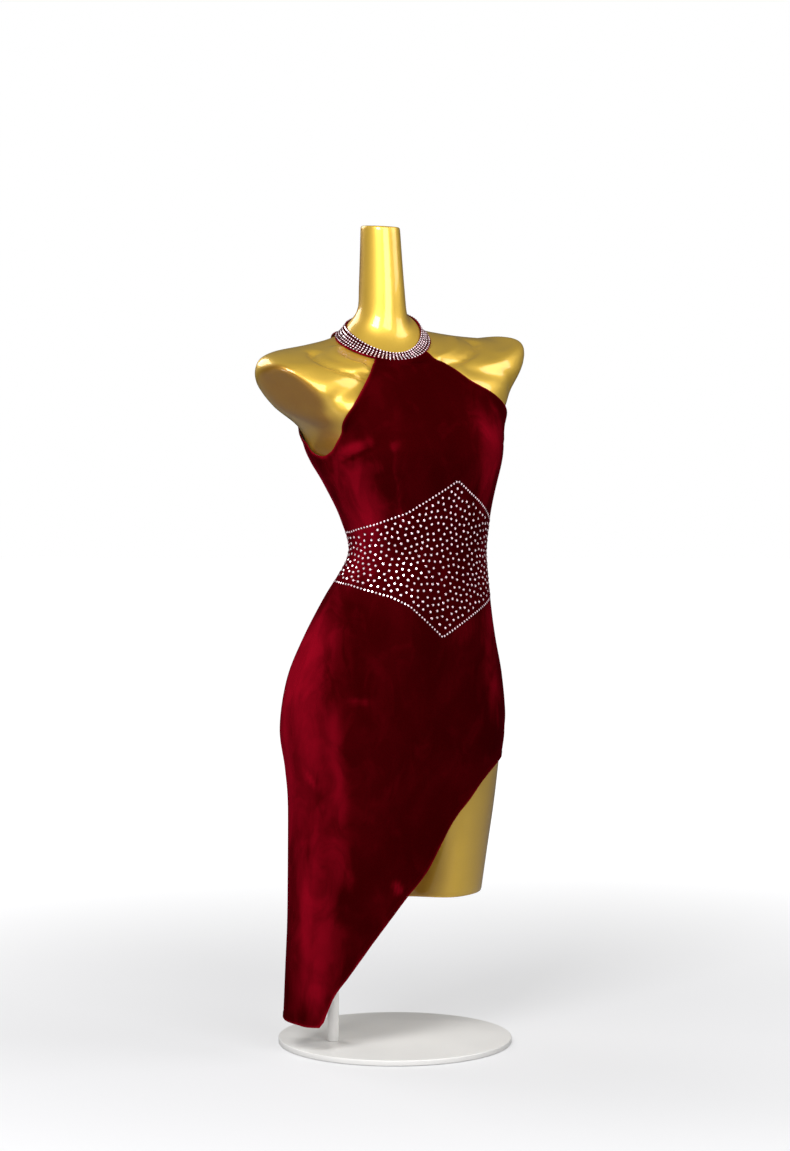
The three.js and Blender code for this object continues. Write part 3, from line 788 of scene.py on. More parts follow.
# The collar starts a small share of a row above the panels. Its margins are painted lighter, a painted
# highlight along its edges.
COLLAR_SEAM, COLLAR_PAINTED_HIGHLIGHT, COLLAR_COLUMNS, COLLAR_ROWS = 0.012, 0.40, 260, 9
COLLAR_EDGE = np.array([0.0, 0.15, 0.45, 0.9, 1.5])
COLLAR_MARGIN = {"share": 0.03, "low_fade": 0.05, "high_fade": 0.03}
# Rows and columns lie close to each other by an edge, and at even pitches between the edges.
EDGE_STEPS = [0.0, 0.12, 0.4, 0.9, 1.7, 2.9, 4.4, 5.9, 6.8, 7.5, 8.4, 10.0]
SKIRT_PITCH, BODICE_PITCH, COLUMN_PITCH = 5.5, 4.5, 3.6
NARROW_ROW, DRAFT_COLUMNS, FINE_COLUMNS = 60, 500, 2000
# The armhole's foot is half a row above the underarm, and the halter is seven rows high.
ARMHOLE_FOOT, FOOT_STEPS, HALTER_STEPS = 0.5, 14, 62
HALTER_ROWS = np.linspace(0, 7, 200)
# A crease tapers to its ends and fades out at a few times its width.
CREASE = {"points": 22, "end": 0.06, "reach": 4, "blunt": 0.7}
# The turned hem: the painted sheen on its edge, its row of stitches and the steps down to the plain cloth.
HEM_PAINTED_SHEEN, HEM_SHINE = 0.30, 2.5
STITCH = {"width": 0.8, "depth": 0.35}
HEM_STEP = {"start": 0.6, "fade": 1.4}
SEAM_STEP = {"start": 1.5, "fade": 2.5}
LEAST_EASE, LEAST_RIM = 0.5, 0.22


def hem_height(direction):
    """The hem's height, with its tail corner rounded."""
    around = turned(direction)
    folded = np.where(np.abs(around) > 90, np.sign(around) * (180 - np.abs(around)), around)
    back, front = through_points(TAIL_BACK, folded), through_points(TAIL_FRONT, folded)
    tail = np.where(np.abs(around) > 90, back, front)
    slant = through_points(SLANT, folded)
    return CORNER_ROUND * np.logaddexp(tail / CORNER_ROUND, slant / CORNER_ROUND)


def armhole(edge, at):
    return float(through_points(list(zip(ARMHOLE_ROWS, ARMHOLES[edge])), at - dress_figure.row("underarm")))


def spread_along(length, count):
    """Distances along a row: close steps at both edges and even ones between."""
    edge = np.array(EDGE_STEPS) * min(1.0, length / NARROW_ROW)
    middle = np.linspace(edge[-1], length - edge[-1], count + 1)[1:-1]
    return np.concatenate([edge, middle, length - edge[::-1]])


def directions_along(first, last, at, count):
    """Directions of the columns of a row that runs from `first` to `last`."""
    fine = np.linspace(first, last, DRAFT_COLUMNS)
    places = dress_figure.point(fine, at)
    lengths = lengths_along(places)
    return np.interp(spread_along(lengths[-1], count), lengths, fine)


def crease_depth(places):
    """How far the creases sink each place into the cloth."""
    depth = np.zeros(places.shape[:-1])
    share = np.linspace(0, 1, CREASE["points"])
    fullness = np.sin(np.pi * mix(CREASE["end"], 1 - CREASE["end"], share))
    for crease in CREASES:
        direction, height = run_along(crease, share)
        line = dress_figure.point(direction, place_at(direction, height))
        reach = np.ptp(line[:, 2]) / 2 + CREASE["reach"] * crease["width"]
        near = np.abs(places[..., 2] - line[:, 2].mean()) < reach
        gaps = np.linalg.norm(places[near][:, None, :] - line, axis=-1)
        taper = fullness[gaps.argmin(-1)] ** CREASE["blunt"]
        depth[near] += crease["depth"] * taper * bell(gaps.min(-1) / crease["width"])
    return depth


def place_at(direction, height):
    """The place, in rows, of a height in one direction, on the halter too."""
    direction, height = np.broadcast_arrays(np.asarray(direction, float), np.asarray(height, float))
    at = dress_figure.row_at(height).copy()
    underarm = dress_figure.row("underarm")
    for k in np.argwhere(height > UNDERARM_LEVEL)[:, 0] if height.ndim else []:
        heights = dress_figure.point(direction[k], underarm + HALTER_ROWS)[:, 2]
        at[k] = underarm + np.interp(height[k], heights, HALTER_ROWS)
    return at


def nap_and_sheen_share(directions, places, base):
    """How light the pile is painted at each place, from 0 to 1: a painted sheen where it would catch the
    light, and painted shade along a few creases.
    """
    lean = np.full(base.shape[:-1], NAP_AND_SHEEN_GROUND)
    for patch in NAP_AND_SHEEN_PATCHES:
        across = turned(directions - patch["at"][0]) * dress_figure.per_degree(directions, places)
        up = base[..., 2] - patch["at"][1]
        turn = math.radians(patch["turn"])
        along = (across * math.cos(turn) + up * math.sin(turn)) / patch["size"][0]
        beside = (up * math.cos(turn) - across * math.sin(turn)) / patch["size"][1]
        lean += patch["lean"] * np.exp(-(along**2 + beside**2) ** 1.5)
    return np.clip(lean, 0, 1)


def unevenness(places):
    """A slow unevenness of hand-fitted cloth."""
    x, y, z = np.moveaxis(places, -1, 0)
    slow = np.sin(z / 41 + x / 60 + 1.3) * np.sin(x / 47 - z / 90 + y / 70)
    return 0.35 * slow + 0.2 * np.sin(z / 23 - y / 31 + 2.1) * np.sin(x / 29 + z / 57)


def nearest(places, edge_places):
    """Distance from each place to the nearest of the edge's places."""
    tree = KDTree(len(edge_places))
    for k, place in enumerate(edge_places):
        tree.insert(place, k)
    tree.balance()
    flat = places.reshape(-1, 3)
    return np.array([tree.find(p)[2] for p in flat]).reshape(places.shape[:-1])


def densely(line, pitch=0.5):
    lengths = lengths_along(line)
    wanted = np.linspace(0, lengths[-1], max(2, int(lengths[-1] / pitch)))
    return np.stack([np.interp(wanted, lengths, line[:, k]) for k in range(3)], -1)


def panel_grid(first, last, edges, cloth):
    """Directions and places in rows of a panel's columns, from the hem to the collar seam."""
    half_seam = cloth.seam_gap / MM / 2
    hip = dress_figure.row("hip")
    underarm, collar = dress_figure.row("underarm"), dress_figure.row("collar")
    width = np.ptp([first, last]) * dress_figure.per_degree((first + last) / 2, hip)
    count = int(width / COLUMN_PITCH)
    columns = directions_along(first, last, hip, count)
    hem = hem_height(columns)
    run = np.gradient(hem, columns) / dress_figure.per_degree(columns, dress_figure.row_at(hem))
    steep = np.sqrt(1 + run**2)
    heights = [hem + np.array(step) * steep for step in EDGE_STEPS]
    skirt_steps = int((HIP_LEVEL - hem.min()) / SKIRT_PITCH)
    heights += [mix(heights[-1], HIP_LEVEL, share) for share in np.linspace(0, 1, skirt_steps + 1)[1:]]
    bodice_steps = int((UNDERARM_LEVEL - HIP_LEVEL) / BODICE_PITCH)
    levels = np.linspace(HIP_LEVEL, UNDERARM_LEVEL, bodice_steps + 1)[1:]
    heights += [np.full_like(columns, level) for level in levels]
    directions, places = [], []
    for height in heights:
        at = dress_figure.row_at(height)
        row = columns.copy()
        row[0] += half_seam / dress_figure.per_degree(row[0], at[0])
        row[-1] -= half_seam / dress_figure.per_degree(row[-1], at[-1])
        directions.append(row)
        places.append(at)
    foot = underarm + ARMHOLE_FOOT
    levels = mix(underarm, foot, np.linspace(0, 1, FOOT_STEPS + 1)[1:] ** 2)
    levels = np.append(levels, np.linspace(foot, collar - COLLAR_SEAM, HALTER_STEPS + 1)[1:])
    for at in levels:
        start, end = edges(at, half_seam)
        kept = np.interp(columns, [first, last], [start, end])
        even = directions_along(start, end, at, count)
        turn = smooth_step((at - underarm) / 2)
        directions.append(mix(kept, even, turn))
        places.append(np.full_like(columns, at))
    return np.array(directions), np.array(places)


def round_rim(distance, half_wall):
    """The share of the half wall that is left close to a free or sewn edge."""
    inward = 1 - np.clip(distance / half_wall, 0, 1)
    return np.maximum(np.sqrt(1 - inward**2), LEAST_RIM)


def ease_and_relief(base, at, cloth):
    """The cloth's gap to the form, and how far its creases and unevenness move it out."""
    ease = mix(cloth.ease, cloth.halter_ease, smooth_step(at - dress_figure.row("underarm"))) / MM
    return ease, np.maximum(unevenness(base) - crease_depth(base), LEAST_EASE - ease)


def make_panel(name, first, last, edges, free_edges, settings):
    """One velvet panel with its turned hem, seam allowances and creases."""
    cloth = settings.cloth
    directions, places = panel_grid(first, last, edges, cloth)
    base = dress_figure.point(directions, places)
    normal = dress_figure.normal(directions, places)
    halter = len(base) - FOOT_STEPS - HALTER_STEPS - 1
    hem_lines = [base[0]]
    seam_lines = [base[-1]]
    for column, free in zip((0, -1), free_edges):
        seam_lines.append(base[:halter + 1, column])
        (hem_lines if free else seam_lines).append(base[halter:, column])
    from_hem = nearest(base, np.concatenate([densely(line) for line in hem_lines]))
    from_seam = nearest(base, np.concatenate([densely(line) for line in seam_lines]))
    wall = cloth.wall / MM
    hem_width = cloth.hem_width / MM
    stitch = bell((from_hem - hem_width) / STITCH["width"]) * STITCH["depth"]
    band = (1 - smooth_step((from_hem - hem_width + HEM_STEP["start"]) / HEM_STEP["fade"]))
    band = band * cloth.hem_rise / MM
    allowance = (1 - smooth_step((from_seam - hem_width + SEAM_STEP["start"]) / SEAM_STEP["fade"]))
    allowance = allowance * cloth.seam_rise / MM
    ease, relief = ease_and_relief(base, places, cloth)
    rim = round_rim(np.minimum(from_hem, from_seam), wall / 2)
    middle = ease + wall / 2 + relief
    outer = middle + rim * (wall / 2) + band + allowance - stitch
    inner = middle - rim * (wall / 2)
    piece, wrong_side = shell(name, base + normal * outer[..., None], base + normal * inner[..., None])
    finish_piece(piece, settings, ["velvet", "wrong side"], replaced=[name])
    for k in wrong_side:
        piece.data.polygons[k].material_index = 1
    # Painted sheen: the brushed patches and the hem's edge are painted lighter.
    lean = nap_and_sheen_share(directions, places, base) + HEM_PAINTED_SHEEN * bell(from_hem / HEM_SHINE)
    store(piece, "nap_and_sheen", "POINT", [lean, lean])
    return piece


def cloth_place(direction, at, cloth, lift):
    """A place on the dress's outer face, and the way out of the cloth there."""
    base = dress_figure.point(direction, at)
    out = dress_figure.normal(direction, at)
    ease, relief = ease_and_relief(base, at, cloth)
    return base + out * (ease + cloth.wall / MM + relief + lift)[..., None], out


# ---- Stones -----------------------------------------------------------------------------------
GIRDLE_SHARE, TABLE_SHARE = 0.3, 0.66
FACING_UP, LEVEL = 0.9, 0.98
STONE_SINK = -0.05
# The stones inside the motif are scattered in rounds, each with less room about a stone, more at the
# front. Then neighbours that lie close push each other apart in small steps.
SPACING_ROUNDS, TRIES, BORDER_ROOM = (1.16, 1.05, 0.96), 9000, 3.5
SPARSE_FRONT = {"share": 1.14, "direction": 20, "spread": 50}
EVENING = {"steps": 24, "reach": 1.4, "most": 0.5, "pace": 0.35, "border": 4.0}
# The lowest and highest row's share of the collar, how brightly the stones glow with their painted glint,
# and the degrees that stay bare on each side of the centre back.
COLLAR_STONES = {"low": 0.12, "high": 0.93, "shine": (1.3, 2.2), "columns": 1500, "end": 2}
COLLAR_SEED, WAIST_SEED = 11, 7


def stone_pattern(stones, width):
    """One faceted flat-back stone, on the origin and pointing up: its points, faces and table faces."""
    radius, height = width / 2, width * stones.height_share
    piece = cylinder("stone pattern", radius, 0, height * GIRDLE_SHARE, vertices=stones.sides)
    select_faces(piece, lambda face: face.normal.z > FACING_UP)
    bpy.ops.mesh.extrude_region_move(TRANSFORM_OT_translate={"value": (0, 0, height * (1 - GIRDLE_SHARE))})
    bpy.ops.transform.resize(value=(TABLE_SHARE, TABLE_SHARE, 1), center_override=(0, 0, height))
    bpy.ops.transform.rotate(value=math.pi / stones.sides, orient_axis="Z", center_override=(0, 0, height))
    bpy.ops.mesh.select_all(action="SELECT")
    bpy.ops.mesh.quads_convert_to_tris()
    bpy.ops.object.mode_set(mode="OBJECT")
    points = np.array([vertex.co[:] for vertex in piece.data.vertices]) / MM
    faces = [tuple(face.vertices) for face in piece.data.polygons]
    tables = [face.normal.z > LEVEL for face in piece.data.polygons]
    bpy.data.objects.remove(piece)
    return points, faces, tables


def set_stones(name, places, outs, stones, width, rng, shine=(0.85, 1.0), tilt=0.10):
    """Joins copies of one stone, each on its place and turned its own way."""
    points, faces, tables = stone_pattern(stones, width)
    all_points, all_faces = [], []
    for k, (place, out) in enumerate(zip(places, outs)):
        lean = Vector([rng.uniform(-tilt, tilt) for _ in range(3)])
        up = (Vector(out) + lean).normalized()
        spin = rng.uniform(0, math.tau)
        turned_up = up.to_track_quat("Z", "Y").to_matrix() @ Matrix.Rotation(spin, 3, "Z")
        all_points.append(points @ np.array(turned_up).T + place)
        start = k * len(points)
        all_faces += [tuple(start + v for v in face) for face in faces]
    piece = mesh_object(name, np.concatenate(all_points), all_faces, smooth=False)
    # Each stone's painted glint strength, stored on its table faces.
    shines = [rng.uniform(*shine) for _ in places]
    store(piece, "table", "FACE", np.outer(shines, tables))
    return piece


def motif_border(points, pitch):
    """Directions and heights at an even pitch along one border of the motif."""
    fine = np.linspace(-180, 180, FINE_COLUMNS)
    heights = np.interp(fine, *np.array(points, float).T)
    places = dress_figure.point(fine, dress_figure.row_at(heights))
    lengths = lengths_along(places)
    wanted = np.linspace(0, lengths[-1], int(lengths[-1] / pitch), endpoint=False)
    direction = np.interp(wanted, lengths, fine)
    return direction, np.interp(direction, *np.array(points, float).T)


def scattered(stones, rng):
    """Directions and heights of the stones between the borders, none closer than the spacing."""
    top, bottom = np.array(MOTIF_TOP, float).T, np.array(MOTIF_BOTTOM, float).T
    pitch, spacing = stones.border_pitch / MM, stones.spacing / MM
    borders = [motif_border(points, pitch) for points in (MOTIF_TOP, MOTIF_BOTTOM)]
    kept = [dress_figure.point(d, dress_figure.row_at(h)) for d, h in borders]
    chosen = []
    placed = np.concatenate(kept)
    for share in SPACING_ROUNDS:
        for _ in range(TRIES):
            direction = rng.uniform(-180, 180)
            height = rng.uniform(bottom[1].min(), top[1].max())
            low, high = np.interp(direction, *bottom), np.interp(direction, *top)
            if not low + BORDER_ROOM < height < high - BORDER_ROOM:
                continue
            place = dress_figure.point(direction, dress_figure.row_at(height))
            before = bell((direction - SPARSE_FRONT["direction"]) / SPARSE_FRONT["spread"])
            room = spacing * share * mix(1.0, SPARSE_FRONT["share"], before)
            if np.square(placed - place).sum(-1).min() > room**2:
                placed = np.vstack([placed, place])
                chosen.append((direction, height))
    return *borders, evened(np.array(chosen).T, np.concatenate(kept), spacing)


def evened(chosen, fixed, spacing):
    """Pushes the stones that lie close together apart, between the borders."""
    direction, height = chosen
    for _ in range(EVENING["steps"]):
        at = dress_figure.row_at(height)
        places = dress_figure.point(direction, at)
        apart = places[:, None] - np.concatenate([places, fixed])
        gaps = np.linalg.norm(apart, axis=-1) + 1e-6
        push = np.clip(1 - gaps / (spacing * EVENING["reach"]), 0, EVENING["most"]) * EVENING["most"]
        move = (apart / gaps[..., None] * push[..., None]).sum(1) * spacing * EVENING["pace"]
        step = dress_figure.point(direction + 0.5, at) - dress_figure.point(direction - 0.5, at)
        direction = direction + (move * step).sum(-1) / np.square(step).sum(-1)
        low, high = (np.interp(direction, *np.array(line, float).T) for line in (MOTIF_BOTTOM, MOTIF_TOP))
        height = np.clip(height + move[:, 2], low + EVENING["border"], high - EVENING["border"])
    return direction, height


# ---- Operators --------------------------------------------------------------------------------
def dress_settings(context):
    return context.scene.dance_dress


class DRESS_OT_panels(Operator):
    """Adds the three velvet panels of the dress"""
    bl_idname = "dress.panels"
    bl_label = "Velvet Panels"

    def execute(self, context):
        settings = dress_settings(context)

        def seam(direction, at, gap):
            return direction + gap / dress_figure.per_degree(direction, at)

        def front(at, gap):
            return (max(armhole("front right", at), seam(RIGHT_SIDE, at, gap)),
                    min(armhole("front left", at), seam(LEFT_SIDE, at, -gap)))

        def back_left(at, gap):
            return max(armhole("back left", at), seam(LEFT_SIDE, at, gap)), seam(CENTRE_BACK, at, -gap)

        def back_right(at, gap):
            return seam(CENTRE_BACK, at, gap), min(360 + armhole("back right", at), seam(270, at, -gap))

        cuts = [
            ("dress_front", RIGHT_SIDE, LEFT_SIDE, front, (True, True), (0.46, 0.98), 0.273),
            ("dress_back_left", LEFT_SIDE, CENTRE_BACK, back_left, (True, False), (0.23, 0.78), 0.119),
            ("dress_back_right", CENTRE_BACK, 270, back_right, (False, True), (0.23, 0.98), 0.164),
        ]
        for name, first, last, edges, free, flat, area in cuts:
            piece = make_panel(name, first, last, edges, free, settings)
            piece.name = name.replace("dress", "velvet")
        return {"FINISHED"}


class DRESS_OT_collar(Operator):
    """Adds the collar's velvet band"""
    bl_idname = "dress.collar"
    bl_label = "Collar Band"

    def execute(self, context):
        settings = dress_settings(context)
        collar = settings.collar
        half_seam = settings.cloth.seam_gap / MM / 2
        low, high = dress_figure.row("collar") + COLLAR_SEAM, dress_figure.row("collar top")
        outer, inner = [], []
        wall = collar.wall / MM
        slant = np.linalg.norm(dress_figure.point(0, high) - dress_figure.point(0, low))
        edge = COLLAR_EDGE / slant
        shares = np.concatenate([edge, np.linspace(0, 1, COLLAR_ROWS)[1:-1], 1 - edge[::-1]])
        for share in shares:
            at = mix(low, high, share)
            per_degree = dress_figure.per_degree(CENTRE_BACK, at)
            ends = CENTRE_BACK - half_seam / per_degree
            edge_turn = COLLAR_EDGE / per_degree
            middle_turn = np.linspace(-ends, ends, COLLAR_COLUMNS)[2:-2]
            row = np.concatenate([-ends + edge_turn, middle_turn, ends - edge_turn[::-1]])
            to_edge = np.minimum((ends - np.abs(row)) * per_degree, min(share, 1 - share) * slant)
            rim = round_rim(to_edge, wall / 2) * wall / 2
            middle = collar.ease / MM + wall / 2
            outer.append(dress_figure.outside(row, at, middle + rim))
            inner.append(dress_figure.outside(row, at, middle - rim))
        piece, _ = shell("collar_velvet", np.array(outer), np.array(inner))
        finish_piece(piece, settings, ["velvet"], replaced=["collar_band"])
        # Painted highlight: the collar's top and bottom margins are painted lighter.
        margin = 1 - smooth_step((shares - COLLAR_MARGIN["share"]) / COLLAR_MARGIN["low_fade"])
        margin += smooth_step((shares - 1 + COLLAR_MARGIN["share"]) / COLLAR_MARGIN["high_fade"])
        store(piece, "nap_and_sheen", "POINT", np.tile(np.repeat(margin * COLLAR_PAINTED_HIGHLIGHT, len(row)), 2))
        return {"FINISHED"}


class DRESS_OT_collar_stones(Operator):
    """Sets the rows of stones on the collar"""
    bl_idname = "dress.collar_stones"
    bl_label = "Collar Stones"

    def execute(self, context):
        settings = dress_settings(context)
        stones = settings.stones
        collar = settings.collar
        rng = random.Random(COLLAR_SEED)
        low, high = dress_figure.row("collar"), dress_figure.row("collar top")
        ends = CENTRE_BACK - COLLAR_STONES["end"]
        fine = np.linspace(-ends, ends, COLLAR_STONES["columns"])
        line = dress_figure.point(fine, (low + high) / 2)
        lengths = lengths_along(line)
        count = int(lengths[-1] / (stones.collar_pitch / MM))
        directions = np.interp(np.linspace(0, lengths[-1], count), lengths, fine)
        places, outs = [], []
        lift = (collar.ease + collar.wall) / MM
        for share in np.linspace(COLLAR_STONES["low"], COLLAR_STONES["high"], stones.collar_rows):
            at = mix(low, high, share)
            places.append(dress_figure.outside(directions, at, lift))
            outs.append(dress_figure.normal(directions, at))
        piece = set_stones("collar_stones", np.concatenate(places), np.concatenate(outs), stones,
                           stones.collar_width, rng, shine=COLLAR_STONES["shine"])
        finish_piece(piece, settings, ["stones"])
        return {"FINISHED"}


class DRESS_OT_waist_stones(Operator):
    """Sets the pointed motif of stones round the waist"""
    bl_idname = "dress.waist_stones"
    bl_label = "Waist Stones"

    def execute(self, context):
        settings = dress_settings(context)
        rng = random.Random(WAIST_SEED)
        stones = settings.stones
        top, bottom, inside = scattered(stones, rng)
        groups = [("border_stones_top", top, stones.border_width),
                  ("border_stones_bottom", bottom, stones.border_width),
                  ("waist_stones", inside, stones.width)]
        for name, (direction, height), width in groups:
            places, outs = cloth_place(direction, dress_figure.row_at(height), settings.cloth, STONE_SINK)
            piece = set_stones(name, places, outs, stones, width, rng)
            finish_piece(piece, settings, ["stones"])
        return {"FINISHED"}


# The hook's plate and the middles of its four eyelets, in millimetres; its place is in rows.
HOOK = {"row": 0.5, "span": 0.2, "plate": (7, 11, 0.7), "sunk": -0.45, "edge": 0.3, "eyelets": (2.6, 3.2)}


class DRESS_OT_hook(Operator):
    """Adds the hook that closes the collar at the centre back"""
    bl_idname = "dress.hook"
    bl_label = "Collar Hook"

    def execute(self, context):
        settings = dress_settings(context)
        at = dress_figure.row("collar") + HOOK["row"]
        out = Vector(dress_figure.normal(np.array(CENTRE_BACK), at))
        span = HOOK["span"]
        up = dress_figure.point(CENTRE_BACK, at + span) - dress_figure.point(CENTRE_BACK, at - span)
        side = Vector(up).cross(out).normalized()
        place = Matrix((side, out.cross(side), out)).transposed().to_4x4()
        low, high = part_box("collar_hook")
        place.translation = (Vector(low) + Vector(high)) / 2
        clear_selection()
        bpy.ops.mesh.primitive_cube_add(size=1)
        plate = bpy.context.active_object
        plate.name = "hook_plate"
        plate.scale = [c * MM for c in HOOK["plate"]]
        settle(plate)
        plate.data.transform(Matrix.Translation((0, 0, HOOK["sunk"] * MM)))
        soften(plate, HOOK["edge"] * MM)
        x, y = HOOK["eyelets"]
        rings = [self.ring(1.15, 0.32, 20, (i * x, j * y, 0.15)) for i in (-1, 1) for j in (-1, 1)]
        rings.append(self.ring(2.3, 0.42, 28, (0, 0, 0.2), scale=(0.8, 1.5, 1.0)))
        show(plate)
        for part in rings:
            part.select_set(True)
        bpy.ops.object.join()
        plate.data.transform(place)
        bpy.ops.object.shade_smooth_by_angle(angle=math.radians(40))
        finish_piece(plate, settings, ["steel"], replaced=["collar_hook"])
        return {"FINISHED"}

    @staticmethod
    def ring(radius, wire, segments, place, scale=(1, 1, 1)):
        """A wire ring that lies on the plate, in millimetres."""
        clear_selection()
        bpy.ops.mesh.primitive_torus_add(major_radius=radius * MM, minor_radius=wire * MM,
                                         major_segments=segments, minor_segments=8,
                                         location=[c * MM for c in place])
        ring = bpy.context.active_object
        ring.scale = scale
        settle(ring)
        return ring


END_ROUND, END_ANGLES = 3.0, (90, 67, 45, 22, 0)


class DRESS_OT_form(Operator):
    """Adds the gold display form"""
    bl_idname = "dress.form"
    bl_label = "Display Form"

    def execute(self, context):
        settings = dress_settings(context)
        form = settings.form
        fine = np.linspace(-180, 180, FINE_COLUMNS)
        line = form_figure.plain_point(fine, form_figure.row("hip"))
        lengths = lengths_along(line)
        directions = np.interp(np.linspace(0, lengths[-1], form.sides, endpoint=False), lengths, fine)
        count = form_figure.last * form.steps
        levels = np.linspace(0, form_figure.last, count + 1)
        rings = [form_figure.outside(directions, at, np.zeros_like(directions)) for at in levels]
        rings = self.rounded_end(rings, -1)[::-1]
        rings = self.rounded_end(rings, 1)[::-1]
        points = np.concatenate(rings)
        faces = grid_faces(len(rings), form.sides, closed=True)
        faces.append(tuple(range(form.sides))[::-1])
        top = (len(rings) - 1) * form.sides
        faces.append(tuple(range(top, top + form.sides)))
        piece = mesh_object("gold_form", points, faces)
        # Painted shade on the form, stored for the gold's colour.
        store(piece, "painted_shade", "POINT", self.painted_shade(points, np.tile(directions, len(rings))))
        show(piece)
        bpy.ops.object.shade_smooth_by_angle(angle=math.radians(50))
        finish_piece(piece, settings, ["gold"], replaced=["dress_form"])
        return {"FINISHED"}

    @staticmethod
    def painted_shade(points, directions):
        """How much painted shade each point takes, from 0 to 1: darker gold on the arm cuts and in patches
        where shade falls.
        """
        share = np.zeros(len(points))
        for cut in ARM_CUTS:
            normal = np.array(cut["normal"]) / np.linalg.norm(cut["normal"])
            share += smooth_step(1 + (points @ normal - cut["distance"]) / CUT_SHADE["depth"])
        share *= CUT_SHADE["share"] * smooth_step((points[:, 2] - CUT_SHADE["low"]) / CUT_SHADE["fade"])
        for patch in PAINTED_SHADE_PATCHES:
            round_form = turned(directions - patch["at"][0]) / patch["size"][0]
            up_form = (points[:, 2] - patch["at"][1]) / patch["size"][1]
            share += patch["share"] * bell(round_form) * bell(up_form)
        return np.clip(share, 0, DEEPEST_PAINTED_SHADE)

    @staticmethod
    def rounded_end(rings, way):
        """Rounds the edge of the first ring's flat end, which faces down for -1 and up for 1."""
        first = rings[0]
        tangent = np.roll(first, -1, axis=0) - np.roll(first, 1, axis=0)
        square = np.stack([tangent[:, 1], -tangent[:, 0], 0 * tangent[:, 0]], -1)
        square /= np.linalg.norm(square, axis=1, keepdims=True)
        inwards = np.array([0, 0, -way])
        rounded = [first - square * END_ROUND * (1 - math.cos(a)) + inwards * END_ROUND * (1 - math.sin(a))
                   for a in np.radians(END_ANGLES)]
        kept = [ring for ring in rings if (np.abs(ring[:, 2] - first[:, 2]) > END_ROUND).all()]
        return rounded + kept


PLATE_EDGE, POLE_EDGE = 1.5 * MM, 0.6 * MM
SOCKET = {"flange": 6 * MM, "tube": 13 * MM, "room": 0.3 * MM, "edge": 0.8 * MM}


class DRESS_OT_stand(Operator):
    """Adds the plate, the pole and the socket that carry the form"""
    bl_idname = "dress.stand"
    bl_label = "Stand"

    def execute(self, context):
        settings = dress_settings(context)
        stand = settings.stand
        plate = cylinder("stand_plate", stand.plate_radius, 0, stand.plate_height, vertices=160)
        self.finish(plate, PLATE_EDGE, "stand_base", settings, segments=4)
        low, high = (Vector(c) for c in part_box("stand_pole"))
        x, y = (low.x + high.x) / 2, (low.y + high.y) / 2
        pole = cylinder("stand_tube", stand.pole_radius, low.z, high.z, x, y, vertices=64)
        self.finish(pole, POLE_EDGE, "stand_pole", settings)
        low, high = (Vector(c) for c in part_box("stand_socket"))
        radius, flange = (high.x - low.x) / 2, SOCKET["flange"]
        socket = cylinder("stand_cup", radius, high.z - flange, high.z, x, y, vertices=64)
        select_faces(socket, lambda face: face.normal.z < -FACING_UP)
        bpy.ops.mesh.inset(thickness=radius - SOCKET["tube"])
        bpy.ops.mesh.extrude_region_move(TRANSFORM_OT_translate={"value": (0, 0, low.z - high.z + flange)})
        bpy.ops.mesh.inset(thickness=SOCKET["tube"] - stand.pole_radius - SOCKET["room"])
        bpy.ops.mesh.extrude_region_move(TRANSFORM_OT_translate={"value": (0, 0, high.z - flange - low.z)})
        bpy.ops.object.mode_set(mode="OBJECT")
        self.finish(socket, SOCKET["edge"], "stand_socket", settings)
        return {"FINISHED"}

    @staticmethod
    def finish(piece, edge, node, settings, segments=3):
        """Rounds the edges of a piece and gives it its enamel."""
        soften(piece, edge, segments=segments)
        finish_piece(piece, settings, ["enamel"], replaced=[node])


FLOOR_RADIUS, FLOOR_LEVEL = 30, -0.5 * MM
SENSOR_WIDTH = 36
AROUND, WHITE = (0.07, 0.07, 0.07), (1.0, 1.0, 1.0)


